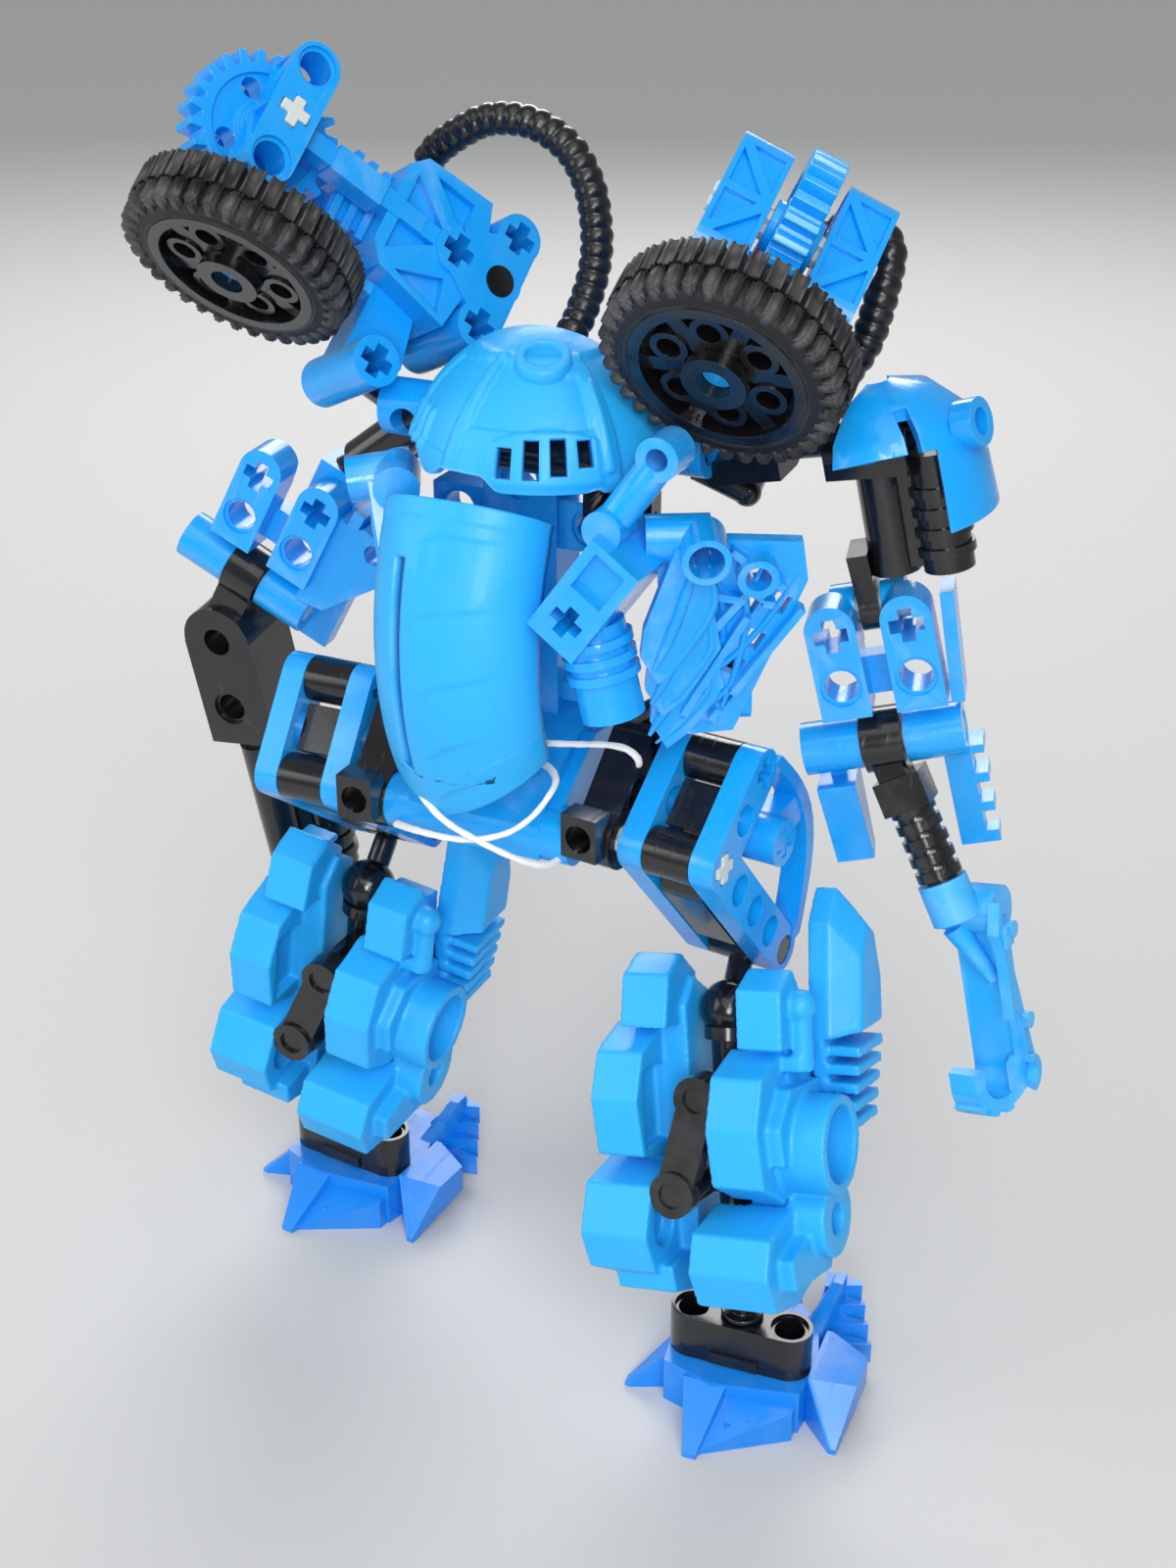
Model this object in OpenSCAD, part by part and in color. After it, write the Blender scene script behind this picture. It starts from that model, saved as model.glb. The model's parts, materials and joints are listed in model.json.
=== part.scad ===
// Walking humanoid robot, a posable figure built from interlocking construction-toy parts.
// X points to the robot's left, Y to its back and Z up.

/* [Building system] */
// Distance between neighbouring holes
pitch = 8; // [7.9:0.1:8.1]
// Radius of a round pin hole
hole_r = 2.45; // [2.4:0.05:2.5]
// Half the width of a beam
beam_r = 3.7; // [3.6:0.05:3.8]
// Thickness of a thin beam
thin = 4; // [3.8:0.1:4.2]

/* [Stance] */
// Height of the hip axle above the floor
hip_z = 94.5; // [94:0.5:95]
// Slope of the left thigh's lower arm below the horizontal
left_thigh_angle = 49; // [47:1:51]
// Slope of the right thigh's lower arm below the horizontal
right_thigh_angle = 36; // [34:1:38]
// Height of the ankle ball above the floor
ankle_z = 21.8; // [21.6:0.1:22.2]

/* [Guns] */
// Outer diameter of a gun's tyre
tyre_d = 34; // [33:0.5:35]
// Number of teeth on a gun's gear
gear_teeth = 24; // [20:1:28]

/* [Hidden] */
$fn = 32;
blue = "DodgerBlue";
light_blue = "LightSkyBlue";
deep_blue = "RoyalBlue";
black = "DimGray";
pale = "Gainsboro";
cut = 0.5;                       // overshoot of a cutting solid
base_shift = [-3.15, -0.41, 0];          // brings the middle of the whole figure to the origin
torso_x = -4;                    // the torso's mid plane
hip_y = -15;
upper_arm_l = 2 * pitch;         // thigh, hip hole to upper end hole
lower_arm_l = 4 * pitch;         // thigh, hip hole to knee hole
shin_forward_tilt = 9;           // armour against the ankle-knee line
left_hip = [27, hip_y + 1, hip_z];
right_hip = [-35, hip_y, hip_z];
left_yaw = 7;
right_yaw = 0;
left_ankle = [41, -16.5, ankle_z];
right_ankle = [-43, 4.5, ankle_z];
function knee_of(hip, yaw, slope) = hip + lower_arm_l
    * [cos(slope) * sin(yaw), cos(slope) * cos(yaw), -sin(slope)];
left_knee = knee_of(left_hip, left_yaw, left_thigh_angle);
right_knee = knee_of(right_hip, right_yaw, right_thigh_angle);

// Outline of a bar with round ends, its two end centres at x = -half and x = half
function bar_outline(half, r) = concat(
    [for (a = [-90 : 15 : 90]) [half + r * cos(a), r * sin(a)]],
    [for (a = [90 : 15 : 270]) [-half + r * cos(a), r * sin(a)]]);

// Outline of a beam with a right-angled bend at the origin
function bent_outline(a1, l1, a2, l2, r) = concat(
    [for (a = [90 : -15 : -90]) l1 * [cos(a1), sin(a1)] + r * [cos(a1 + a), sin(a1 + a)]],
    [r / sin((a1 - a2) / 2) * [cos((a1 + a2) / 2), sin((a1 + a2) / 2)]],
    [for (a = [90 : -15 : -90]) l2 * [cos(a2), sin(a2)] + r * [cos(a2 + a), sin(a2 + a)]],
    [for (a = [0 : -15 : a1 - a2 - 180]) r * [cos(a2 - 90 + a), sin(a2 - 90 + a)]]);

// Lays a flat outline in the YZ plane and extrudes it along X
module side(x0, x1) translate([x0, 0, 0]) rotate([90, 0, 90]) linear_extrude(x1 - x0) children();
module along_x() rotate([0, 90, 0]) children();
module along_y() rotate([-90, 0, 0]) children();

module rod(r, length) cylinder(r = r, h = length, center = true);

module axle_cross(length, size = 4.8, web = 1.8) {
    cube([size, web, length], center = true);
    cube([web, size, length], center = true);
}

module pin_hole(length, rim = true) {
    rod(hole_r, length + 2 * cut);
    if (rim)
        for (s = [-1, 1]) translate([0, 0, s * length / 2]) rod(3.05, 1.4);
}

// Beam along X with its holes along Z; the listed holes take a cross axle
module beam(count, thick, cross_at = []) {
    half = (count - 1) * pitch / 2;
    difference() {
        translate([0, 0, -thick / 2]) linear_extrude(thick) polygon(bar_outline(half, beam_r));
        for (i = [0 : count - 1])
            translate([i * pitch - half, 0, 0])
                if (len(search(i, cross_at)) > 0) axle_cross(thick + 1);
                else pin_hole(thick);
    }
}

// Tube through a list of points: an eight-sided sweep
module hose_sweep(points, r, sides = 8) {
    last = len(points) - 1;
    function unit(v) = v / norm(v);
    function tangent(i) = unit(points[min(i + 1, last)] - points[max(i - 1, 0)]);
    function side_dir(i) = unit(cross(tangent(i), [0.1, 1, 0.05]));
    rings = [for (i = [0 : last]) let (s = side_dir(i), t = cross(tangent(i), s))
        for (k = [0 : sides - 1]) points[i] + r * (cos(360 * k / sides) * s + sin(360 * k / sides) * t)];
    walls = [for (i = [0 : last - 1]) for (k = [0 : sides - 1])
        let (n = (k + 1) % sides, a = i * sides, b = a + sides)
        each [[a + k, a + n, b + n], [a + k, b + n, b + k]]];
    ends = [[for (k = [sides - 1 : -1 : 0]) k], [for (k = [0 : sides - 1]) last * sides + k]];
    polyhedron(rings, concat(walls, ends));
}

// ---------------------------------------------------------------- places
module shifted() translate(base_shift) children();
module at_left_foot() shifted() translate([left_ankle.x, left_ankle.y, 0]) rotate([0, 0, 4]) children();
module at_right_foot() shifted() translate([right_ankle.x, right_ankle.y, 0]) rotate([0, 0, -6]) children();

// The shin's frame: origin at the ankle ball, Z along the armour
module at_shin(ankle, knee) {
    d = (knee - ankle) / norm(knee - ankle);
    lean_y = asin(d.x);
    lean_x = -asin(d.y / cos(lean_y));
    shifted() translate(ankle) rotate([lean_x, lean_y, 0]) rotate([shin_forward_tilt, 0, 0]) children();
}
module at_left_shin() at_shin(left_ankle, left_knee) children();
module at_right_shin() at_shin(right_ankle, right_knee) children();
module at_left_thigh() shifted() translate(left_hip) rotate([0, 0, -left_yaw]) children();
module at_right_thigh() shifted() translate(right_hip) rotate([0, 0, -right_yaw]) children();

// A gun's frame: origin in its gear, X to the rear pivot, holes along Y, wheel axle along -Z
module at_right_gun() shifted() translate([-46.8, 0.1, 189.6])
    rotate([-48.7, 4.7, 0]) rotate([0, 0, 51.6]) children();
module at_left_gun() shifted() translate([34.5, 3.5, 181.6]) mirror([1, 0, 0])
    rotate([-58, -2.6, 0]) rotate([0, 0, 62]) children();

// ---------------------------------------------------------------- feet
module foot() color(deep_blue) {
    linear_extrude(8) polygon([[-11, -6], [-2.5, -8.5], [11.5, -6], [12.4, 2], [10, 11], [6, 15],
        [-6, 15], [-10, 10], [-12, 2]]);
    // front claw with its tip on the floor and a slanted right side
    hull() {
        translate([-7, -8, 0]) cube([7, 2, 7.6]);
        translate([-4, -17.4, 0]) cube([2.2, 1, 0.8]);
    }
    hull() {
        translate([-1, -8, 0]) cube([12, 2, 5.6]);
        translate([-2.5, -16, 0]) cube([1, 1, 0.8]);
    }
    for (i = [0 : 2])
        translate([1.4 + 3 * i, -12.4 + 1.6 * i, 0]) rotate([0, 0, 28]) cube([0.9, 5, 3.6 + 0.6 * i]);
    // left toe
    hull() {
        translate([-11.4, -3, 0]) cube([1, 8, 6.5]);
        translate([-17.8, -5.5, 0]) cube([1, 1.6, 0.8]);
    }
    // large faceted right claw
    hull() {
        translate([11.9, -3, 0]) cube([1, 12, 9]);
        translate([17, -1, 3]) cube([2.5, 7, 5]);
        translate([17.2, -8.6, 0]) cube([1.2, 1.2, 1]);
    }
    // fin behind the right claw with its row of saw teeth
    hull() {
        translate([8, 9, 0]) cube([3, 3, 8]);
        translate([11, 15, 4]) cube([1.6, 3, 10]);
    }
    for (i = [0 : 3])
        translate([9.4, 8.6 + 2.4 * i, 2.2 + 2.1 * i]) rotate([0, 0, 12]) linear_extrude(3.6)
            polygon([[0, 0], [9.8 - 1.2 * i, 1.2], [9.4 - 1.2 * i, 2.2], [0, 4]]);
    // heel
    translate([-5, 14, 0]) cube([10, 5, 6]);
}
module left_foot() at_left_foot() foot();
module right_foot() at_right_foot() foot();

module ankle_beam() color(black) translate([0, -0.3, 12]) {
    difference() {
        beam(3, 7.9);
        translate([0, 0.3, 0]) rod(2.7, 9);
    }
    difference() {
        translate([-4, -beam_r - 0.5, -3.6]) cube([8, 2.2, 2]);
        translate([0, 0.3, 0]) rod(2.7, 9);
    }
}
module left_ankle_beam() at_left_foot() ankle_beam();
module right_ankle_beam() at_right_foot() ankle_beam();

module ankle_post() color(black) {
    translate([0, 0, 8]) cylinder(r = 2.4, h = 8.4);
    translate([0, 0, 16.1]) cylinder(r = 3.4, h = 1);
    translate([0, 0, 17]) cylinder(r = 2, h = 3);
    translate([0, 0, ankle_z]) sphere(r = 3);
}
module left_ankle_post() at_left_foot() ankle_post();
module right_ankle_post() at_right_foot() ankle_post();

// ---------------------------------------------------------------- shins
module shin_rod() {
    difference() {
        union() {
            translate([0, 0, -1]) cylinder(r = 4.2, h = 7);
            translate([0, 0, 5]) cylinder(r = 3, h = 37);
        }
        sphere(r = 3.06);
        translate([0, 0, -3]) cylinder(r1 = 4, r2 = 2.4, h = 3);
    }
    // ball and collar under the knee
    translate([0, 0.4, 44.5]) sphere(r = 4.6);
    translate([0, -0.6, 40]) rotate([-6, 0, 0]) cylinder(r = 3.8, h = 2);
    hull() {
        translate([0, 2, 46]) sphere(r = 2);
        translate([-0.4, 6.2, 50.6]) sphere(r = 2);
    }
    // front link bar with its two bosses
    translate([-2.2, -12.6, 26]) rotate([90, 0, 0]) rotate([0, 0, 72]) {
        translate([0, 0, -1.6]) linear_extrude(3.2) polygon(bar_outline(pitch, 2.9));
        for (s = [-1, 1]) translate([s * pitch, 0, 0]) difference() {
            rod(3.6, 4.4);
            translate([0, 0, 2.4]) rod(2.1, 2.4);
        }
    }
    for (p = [[-4.6, 18.6], [0.2, 33.6]]) translate([p.x * 0.6, -9.6, p.y])
        along_y() rod(2.3, 7.4);
    translate([-3, -7, 17.2]) cube([3.6, 5, 3]);
    translate([-2, -7, 32]) cube([3.6, 5, 3]);
}
module at_left_knee() shifted() translate(left_knee) rotate([0, 0, -left_yaw]) children();
module at_right_knee() shifted() translate(right_knee) rotate([0, 0, -right_yaw]) children();
module left_shin_core() color(black) difference() {
    union() {
        at_left_shin() shin_rod();
        at_left_knee() along_x() rod(beam_r, 7.3);
    }
    at_left_knee() along_x() rod(hole_r, 9);
}
module right_shin_core() color(black) difference() {
    union() {
        at_right_shin() shin_rod();
        at_right_knee() along_x() rod(beam_r, 7.3);
    }
    at_right_knee() along_x() rod(hole_r, 9);
}

module shin_inner_shell() color(light_blue) difference() {
    union() {
        side(-12, -4.6) polygon([[-5.5, 4], [-6, 46], [-2, 50], [3, 47], [4.5, 20], [3, 3]]);
        side(-17, -9) polygon([[-14.5, 24], [-16, 33], [-13, 40], [-5, 43], [2, 40], [2.5, 25], [-7, 22]]);
        side(-19, -16.6) polygon([[-11, 26], [-11.5, 34], [-4, 38], [1, 36], [1, 27]]);
        side(-13.5, -5.6) polygon([[-11.5, 43.5], [-9.5, 51.5], [-4, 54], [1, 50], [-1, 43]]);
        side(-19.4, -8)
            polygon([[-15, 6], [-17.5, 12], [-14.5, 19.5], [-5, 21.5], [3, 18.5], [3, 7], [-7, 2.6]]);
        side(-16, -6) polygon([[-12, 2], [-13, 6.5], [-3, 7], [3, 3], [-4, 0]]);
        for (i = [0 : 3]) translate([-17 + 0.9 * i, -4, 41.6 + 2.4 * i]) cube([6, 8, 1.2]);
    }
    // round opening in the lower jaw and the recess beside the link
    translate([-10.4, -10.5, 12.4]) along_x() cylinder(r = 3.4, h = 6);
    translate([-10.8, -13, 25]) cube([3, 7, 12]);
}
module left_shin_inner_shell() at_left_shin() shin_inner_shell();
module right_shin_inner_shell() at_right_shin() shin_inner_shell();

module shin_outer_shell() color(light_blue) difference() {
    union() {
        side(4.6, 12) polygon([[-5.5, 3], [-6, 44], [-2, 48], [3, 47], [4.5, 20], [3, 3]]);
        side(3, 11.5) polygon([[-16.5, 21], [-18, 30], [-15, 37.5], [-7, 40], [2, 36], [2, 18], [-9, 17]]);
        side(11, 14) polygon([[-14, 24], [-15, 30], [-10, 35], [2, 34], [2, 22]]);
        side(6, 13.4) polygon([[-11.5, 41], [-11, 50], [-5.5, 52.5], [-1, 46], [-3, 40]]);
        side(-0.6, 12.4)
            polygon([[-16, 2], [-19, 8], [-17, 13.6], [-7.2, 15.8], [3, 13.5], [3, 3.5], [-7, 0.4]]);
        side(12, 15) polygon([[-14, 5], [-15, 10], [-4, 13], [2, 10], [1, 4]]);
        // side barrel and the disc with its hole
        translate([10, -4.5, 25.5]) along_x() cylinder(r = 7.6, h = 9.6);
        translate([11, -2, 13]) along_x() cylinder(r = 6, h = 6.4);
        // piston tube and cap beside the upper pad
        translate([14.6, -6, 37]) cylinder(r = 1.7, h = 11);
        translate([14.6, -6, 47]) sphere(r = 2.5);
        translate([12, -8, 37]) cube([3, 3, 2.4]);
    }
    translate([13.6, -4.5, 25.5]) along_x() cylinder(r = 5.9, h = 7);
    translate([8, -2, 13]) along_x() cylinder(r = hole_r, h = 12);
    translate([-1.4, -7.4, -3]) cube([6, 20, 20]);
}
module left_shin_outer_shell() at_left_shin() shin_outer_shell();
module right_shin_outer_shell() at_right_shin() shin_outer_shell();

module calf_fins() color(light_blue) {
    // domed cover and, below it, the ribs
    hull() {
        side(12.6, 16) polygon([[1, 40], [3, 58], [7, 63], [12, 60], [15, 50], [14.5, 40]]);
        side(16, 20.6) polygon([[3.6, 41], [5, 52], [8, 57], [11, 55], [13, 48], [12.8, 41]]);
    }
    for (i = [0 : 4])
        translate([12.6 + 0.35 * i, 2.2, 25.6 + 2.9 * i]) cube([6.6, 10.6, 1.7]);
    side(12.6, 15) polygon([[4.8, 22], [1, 40], [14, 41], [12, 24]]);
    translate([5, 4.9, 20]) cube([8, 3, 20]);
}
module left_calf_fins() at_left_shin() calf_fins();
module right_calf_fins() at_right_shin() calf_fins();

// ---------------------------------------------------------------- thighs
// Thigh frame: origin on the hip axle, X along it
module thigh_beams(slope) color(blue) for (x = [4, -4 - thin])
    difference() {
        side(x, x + thin) polygon(bent_outline(90 - slope, upper_arm_l, -slope, lower_arm_l, beam_r));
        along_arm(90 - slope, 1) along_x() pin_hole(20, false);
        along_arm(90 - slope, 2) along_x() axle_cross(20);
        along_arm(-slope, 0) along_x() axle_cross(20, 5, 2);
        for (i = [1 : 3]) along_arm(-slope, i) along_x() pin_hole(20, false);
        along_arm(-slope, 4) along_x() rod(2.42, 20);
    }
module along_arm(angle, holes)
    translate([0, holes * pitch * cos(angle), holes * pitch * sin(angle)]) children();

module thigh_spacers(slope) color(black) {
    for (h = [[90 - slope, 2], [-slope, 0]])
        along_arm(h.x, h.y) along_x() difference() {
            rod(beam_r, 7.8);
            axle_cross(9, 5, 2);
        }
    // link between the beams along the lower arm and the knee pin
    rotate([-slope, 0, 0]) translate([0, 2 * pitch, 0]) difference() {
        rotate([0, 0, 90]) rotate([90, 0, 0]) beam(3, 7);
        translate([0, 4, 6]) along_x() rod(4, 9);
        translate([0, -4, 6]) along_x() rod(4, 9);
    }
    along_arm(-slope, 4) along_x() rod(2.38, 15.6);
    along_arm(90 - slope, 1) translate([0, 0.4, -0.4]) rotate([90 - slope, 0, 0])
        cube([7, 7.6, 2.4], center = true);
}
module left_thigh_beams() at_left_thigh() thigh_beams(left_thigh_angle);
module right_thigh_beams() at_right_thigh() thigh_beams(right_thigh_angle);
module left_thigh_spacers() at_left_thigh() thigh_spacers(left_thigh_angle);
module right_thigh_spacers() at_right_thigh() thigh_spacers(right_thigh_angle);

// Crescent shield behind the left thigh, with its pin bush
module hip_guard() at_left_thigh() {
    chord = [lower_arm_l * cos(left_thigh_angle) - upper_arm_l * sin(left_thigh_angle),
        -lower_arm_l * sin(left_thigh_angle) - upper_arm_l * cos(left_thigh_angle)];
    top = [upper_arm_l * sin(left_thigh_angle), upper_arm_l * cos(left_thigh_angle)];
    out = [-chord.y, chord.x] / norm(chord);
    bow = [for (i = [0 : 12]) top + chord * i / 12 + out * (4.6 + 7.5 * sin(15 * i))];
    inner = [for (i = [12 : -1 : 0]) top + chord * i / 12 + out * (2.4 + 7.2 * sin(15 * i))];
    color(blue) side(4.2, 8.4) polygon(concat(bow, inner));
    color(black) translate([0, 14.5, -1.6]) {
        along_x() difference() {
            translate([0, 0, 7.4]) rod(3.7, 6);
            translate([0, 0, 9]) axle_cross(4);
        }
    }
    color(pale) translate([8.4, 14.5, -1.6]) along_x() axle_cross(3.6, 4.5, 1.6);
    color(black) side(4.4, 8)
        polygon([[12, -4.4], [16.6, -4.6], [24.4, -2.6], [25.4, 2.6], [18, 1.6], [13, 1.6]]);
}

// ---------------------------------------------------------------- pelvis and torso
module in_torso() shifted() translate([torso_x, 0, 0]) children();

module pelvis_saddle() color(blue) difference() {
    in_torso() saddle_body();
    at_left_thigh() translate([-15, 0, 0]) along_x() rod(2.46, 8);
    at_right_thigh() translate([15, 0, 0]) along_x() rod(2.46, 8);
}
module saddle_body() difference() {
    union() {
        translate([0, hip_y, hip_z]) along_x() rod(4.4, 31);
        side(-11, 11)
            polygon([[-19, 91.5], [-19.2, 97], [-11, 104], [2, 109], [7, 108], [4, 98], [-6, 90]]);
        side(9, 13) polygon([[-18, 92], [-17, 98], [-3, 106], [4, 105], [-4, 92]]);
        side(-13, -9) polygon([[-18, 92], [-17, 98], [-3, 106], [4, 105], [-4, 92]]);
    }
    translate([-6.02, -2.02, 103.98]) cube([12.04, 8.04, 20]);
    translate([0, -12.5, 98]) rotate([40, 0, 0]) translate([0, 0, 4.4]) cube([5, 5, 5], center = true);
}

// Bearing block for a hip axle, its rear arm reaching up behind
module hip_block() difference() {
    union() {
        along_x() rod(4.65, 6.6);
        rotate([48, 0, 0]) translate([0, pitch * 0.9, 0]) rotate([0, 90, 0]) rotate([0, 0, 90])
            beam(3, 6.4, [2]);
        translate([-3, -7.4, -1]) cube([6, 4, 7]);
    }
    along_x() rod(2.46, 12);
    translate([0, -5, 2.4]) along_y() rod(2.2, 7);
}
block_at = 12.4;                 // thigh's middle to the block's middle
module hip_blocks() color(black) {
    at_left_thigh() translate([-block_at, 0, 0]) hip_block();
    at_right_thigh() translate([block_at, 0, 0]) hip_block();
}

// Pale cross axles: fixed in the thigh beams, turning in the bearing blocks
module hip_axle(offset) color(pale) translate([offset, 0, 0]) along_x() axle_cross(24.6, 4.5, 1.7);
module left_hip_axle() at_left_thigh() hip_axle(-4);
module right_hip_axle() at_right_thigh() hip_axle(4);

// White elastic band that lashes the belly plate to the pelvis
module elastic_band() color("White") shifted() hose_sweep([
    [-20.6, -20.4, 92.4], [-14, -23.8, 94], [-8, -25.2, 95], [-3, -26.2, 96.2], [3, -25.6, 98.4],
    [7.4, -23.2, 101.6], [9.8, -20.2, 105.6], [10.4, -15.6, 108.4], [13, -11.6, 110.6],
    [17.4, -11.4, 111.6], [20.6, -13.4, 110.6]], 0.6);

tube_l = 52;                     // cross tube that carries the shoulders
tube_mid = -1.5;
tube_r = 4.3;
tube_z = 151.4;
module spine_frame() color(blue) in_torso() difference() {
    union() {
        translate([-6, -2, 104]) cube([12, 8, 46]);
        translate([-14, 0, 109.1]) cube([28, 5, 3]);
        translate([-15, -1, 134]) cube([30, 6, 7.6]);
        translate([tube_mid - torso_x, 2, tube_z]) along_x() rod(tube_r, tube_l);
        translate([-9, -2, 148]) cube([18, 8, 8]);
    }
    for (z = [114, 122, 130, 144]) translate([0, 2, z]) along_y() pin_hole(8);
    for (s = [-1, 1]) translate([s * 11, 2, 137.8]) along_y() pin_hole(6);
    translate([28.6, 2, tube_z]) along_x() rod(hole_r, 12);
    translate([right_shoulder.x - torso_x, 2, right_shoulder.z]) along_y() rod(2.4, 12);
}

// Half-tube armour plate, bowed forward along its length
belly_bend_r = 50;
belly_half_w = 13;
belly_depth = 10;
module belly_plate() color(light_blue) in_torso() translate([0, belly_bend_r - 31.5, 124]) rotate([90, 0, 90])
    difference() {
        belly_sweep(151, 60) belly_section();
        // long slot with a small square recess above it
        belly_sweep(161, 40) translate([belly_bend_r - 14, -6.6]) square([16, 1.9]);
        belly_sweep(155.4, 2.4) translate([belly_bend_r - 14, -6.9]) square([16, 2.6]);
        // slanted corners at the lower edge
        for (s = [-1, 1]) rotate([0, 0, 209]) translate([belly_bend_r - 8, 0, s * 15]) rotate([s * 28, 0, 0])
            cube([22, 12, 12], center = true);
    }
// Sweeps a section about the bend's axis, which lies behind the plate
module belly_sweep(from, angle) rotate([0, 0, from]) rotate_extrude(angle = angle, $fn = 96) children();
module belly_section() {
    wall = 1.7;
    polygon(concat(
        [for (a = [-90 : 12 : 90]) [belly_bend_r - belly_depth * (1 - cos(a)), belly_half_w * sin(a)]],
        [for (a = [90 : -12 : -90]) [belly_bend_r - belly_depth + (belly_depth - wall) * cos(a),
            (belly_half_w - wall) * sin(a)]]));
}

// Vented helmet shell: a half dome with a ring boss, windows and a notched rim
head_centre = [1, -3, 147.6];
head_r = 20;
head_pin_y = -9.6;
head_pin_z = 152;
module head_dome() color(light_blue) shifted() difference() {
    union() {
        translate(head_centre) dome_shell();
        // inner lugs on the tilt pins
        for (s = [-1, 1])
            translate([head_centre.x + s * 14.8, head_pin_y, head_pin_z]) along_x() rod(3.6, 4.8);
    }
    translate([head_centre.x, head_pin_y, head_pin_z]) along_x() rod(2.44, 32);
}
module dome_shell() difference() {
    union() {
        difference() {
            sphere(r = head_r, $fn = 64);
            sphere(r = head_r - 1.8, $fn = 64);
        }
        rotate([25, 12, 0]) translate([0, 0, head_r - 2.2]) cylinder(r = 3.9, h = 3);
        side(-1, 1) polygon([for (a = [100 : 10 : 170]) 19.4 * [cos(a), sin(a)],
            for (a = [170 : -10 : 100]) 20.9 * [cos(a), sin(a)]]);
    }
    rotate([25, 12, 0]) translate([0, 0, head_r - 5]) cylinder(r = hole_r, h = 8);
    // open below and behind, with a notch at the front of the rim
    translate([-25, -25, -30]) cube([50, 50, 32]);
    translate([-25, 5, -5]) cube([50, 30, 30]);
    translate([-25, -1.5, -5]) cube([50, 20, 16]);
    translate([-9, -30, 0]) cube([15, 20, 4]);
    // windows low on the left, slits low on the right
    for (i = [0 : 3]) rotate([0, 0, 12 + 9 * i]) translate([-0.8, -25, 5.2]) cube([1.9, 12, 3.4]);
    for (i = [0 : 2])
        rotate([0, 0, -42 - 9 * i]) translate([-0.4, -25, 5]) rotate([0, 12, 0]) cube([0.8, 12, 4]);
}

// Black yoke that carries the dome and fills the neck
module neck_yoke() color(black) shifted() difference() {
    union() {
        translate([head_centre.x, head_pin_y, head_pin_z]) along_x() rod(3.7, 23.6);
        translate([head_centre.x, head_pin_y, head_pin_z]) along_x() rod(2.36, 31);
        translate([-10.6, -9, 149]) cube([14, 7, 6.4]);
        translate([10, -10, 143]) cube([5.4, 9, 4.8]);
        translate([11, -10, 131]) cube([5, 7.6, 13]);
        translate([10, -8, 144.2]) cube([6, 9, 3.6]);
    }
    translate([13.5, -8, 144.6]) along_y() rod(hole_r, 12);
    translate([-4, -9, 149]) cube([4, 4, 14]);
}

// Ribbed side panel. Panel frame: X across, Y out of its back, Z up
module rib_panel() color(blue) difference() {
    union() {
        translate([0, 2.2, 0]) rotate([90, 0, 0]) linear_extrude(2) polygon([[-8, 15], [12.4, 14], [13.4, 8],
            [4, -16.5], [-2, -17], [-6, -12]]);
        // overlapping scales, the top one foremost
        for (i = [0 : 2]) translate([0.9 * i, -1.4 + 1.2 * i, 0]) rotate([90, 0, 0]) linear_extrude(1.8)
            polygon([[-5.5, 15 - 8 * i], [-1, 14 - 8 * i], [0.5, 6 - 7.4 * i], [-4.4, -3.4 - 6.4 * i],
                [-7.4, -6.4 - 6.2 * i], [-10, -2 - 6 * i], [-9.6, 2.4 - 6 * i]]);
        // lattice ribs over the outer half
        for (r = [[-3, -13, -62, 30], [1, -14, -56, 27], [-3, -4, -52, 20], [2, 13, 38, 12], [0, 6, 10, 13]])
            translate([r[0], -1.6, r[1]]) rotate([0, r[2], 0]) cube([r[3] * 0.8, 2.4, 1.1]);
        translate([-1.6, -2.6, 14.5]) along_y() rod(3.4, 7.4);
        translate([-5, 1, 14.5]) along_x() rod(3.4, 9);
        translate([6, -0.4, 10]) along_y() rod(2.9, 5.4);
        translate([2.6, 3, -13]) along_x() rod(2.6, 8);
    }
    translate([-1.6, -2.6, 14.5]) along_y() rod(hole_r, 12);
    translate([6, -0.4, 10]) along_y() rod(1.8, 8);
    for (p = [[9.6, 4.4], [5.4, 4.6], [6.2, -1.4], [3.6, -5.6], [2.4, -10.6]])
        translate([p.x, 0, p.y]) rotate([0, 28, 0]) cube([2.4, 10, 3], center = true);
}
module left_rib_panel() shifted() translate([30, -10.6, 129]) rotate([8, 0, 28]) rib_panel();
module right_rib_panel() shifted() translate([-20, -7.5, 130.6]) rotate([8, 0, -62])
    mirror([1, 0, 0]) rib_panel();

// Block with an axle hole and a recess, and the ribbed tube below it
module chest_block() color(blue) shifted() difference() {
    union() {
        translate([17, -18.4, 136.6]) rotate([0, 36, 0]) cube([8.4, 14, 17], center = true);
        translate([15.4, -18.4, 131]) rotate([0, -14, 0]) {
            translate([0, 0, -14]) cylinder(r = 4.6, h = 14);
            for (i = [0 : 2]) translate([0, 0, -3.2 - 2.4 * i]) cylinder(r = 5.3, h = 1.3);
        }
        translate([8, -15, 126]) cube([6, 7, 8]);
    }
    translate([17, -18.4, 136.6]) rotate([0, 36, 0]) {
        translate([0, 0, -4]) along_y() axle_cross(15);
        translate([0, -7, 4]) cube([5.2, 3, 6.4], center = true);
        translate([0, 0, -8]) rod(2.3, 5);
    }
    translate([15.4, -18.4, 131]) rotate([0, -14, 0]) translate([0, 0, -15]) cylinder(r = 3, h = 5);
}

module chest_piston() color(blue) shifted() difference() {
    top = [25.2, -16.4, 156];
    low = [18.6, -19.8, 146];
    union() {
        hull() {
            translate(top) sphere(r = 2.5);
            translate(low) sphere(r = 2.5);
        }
        translate(top) along_y() rod(3.1, 6);
        translate(low) along_y() rod(2.9, 5.6);
    }
    translate(top) along_y() rod(1.6, 8);
}

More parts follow.
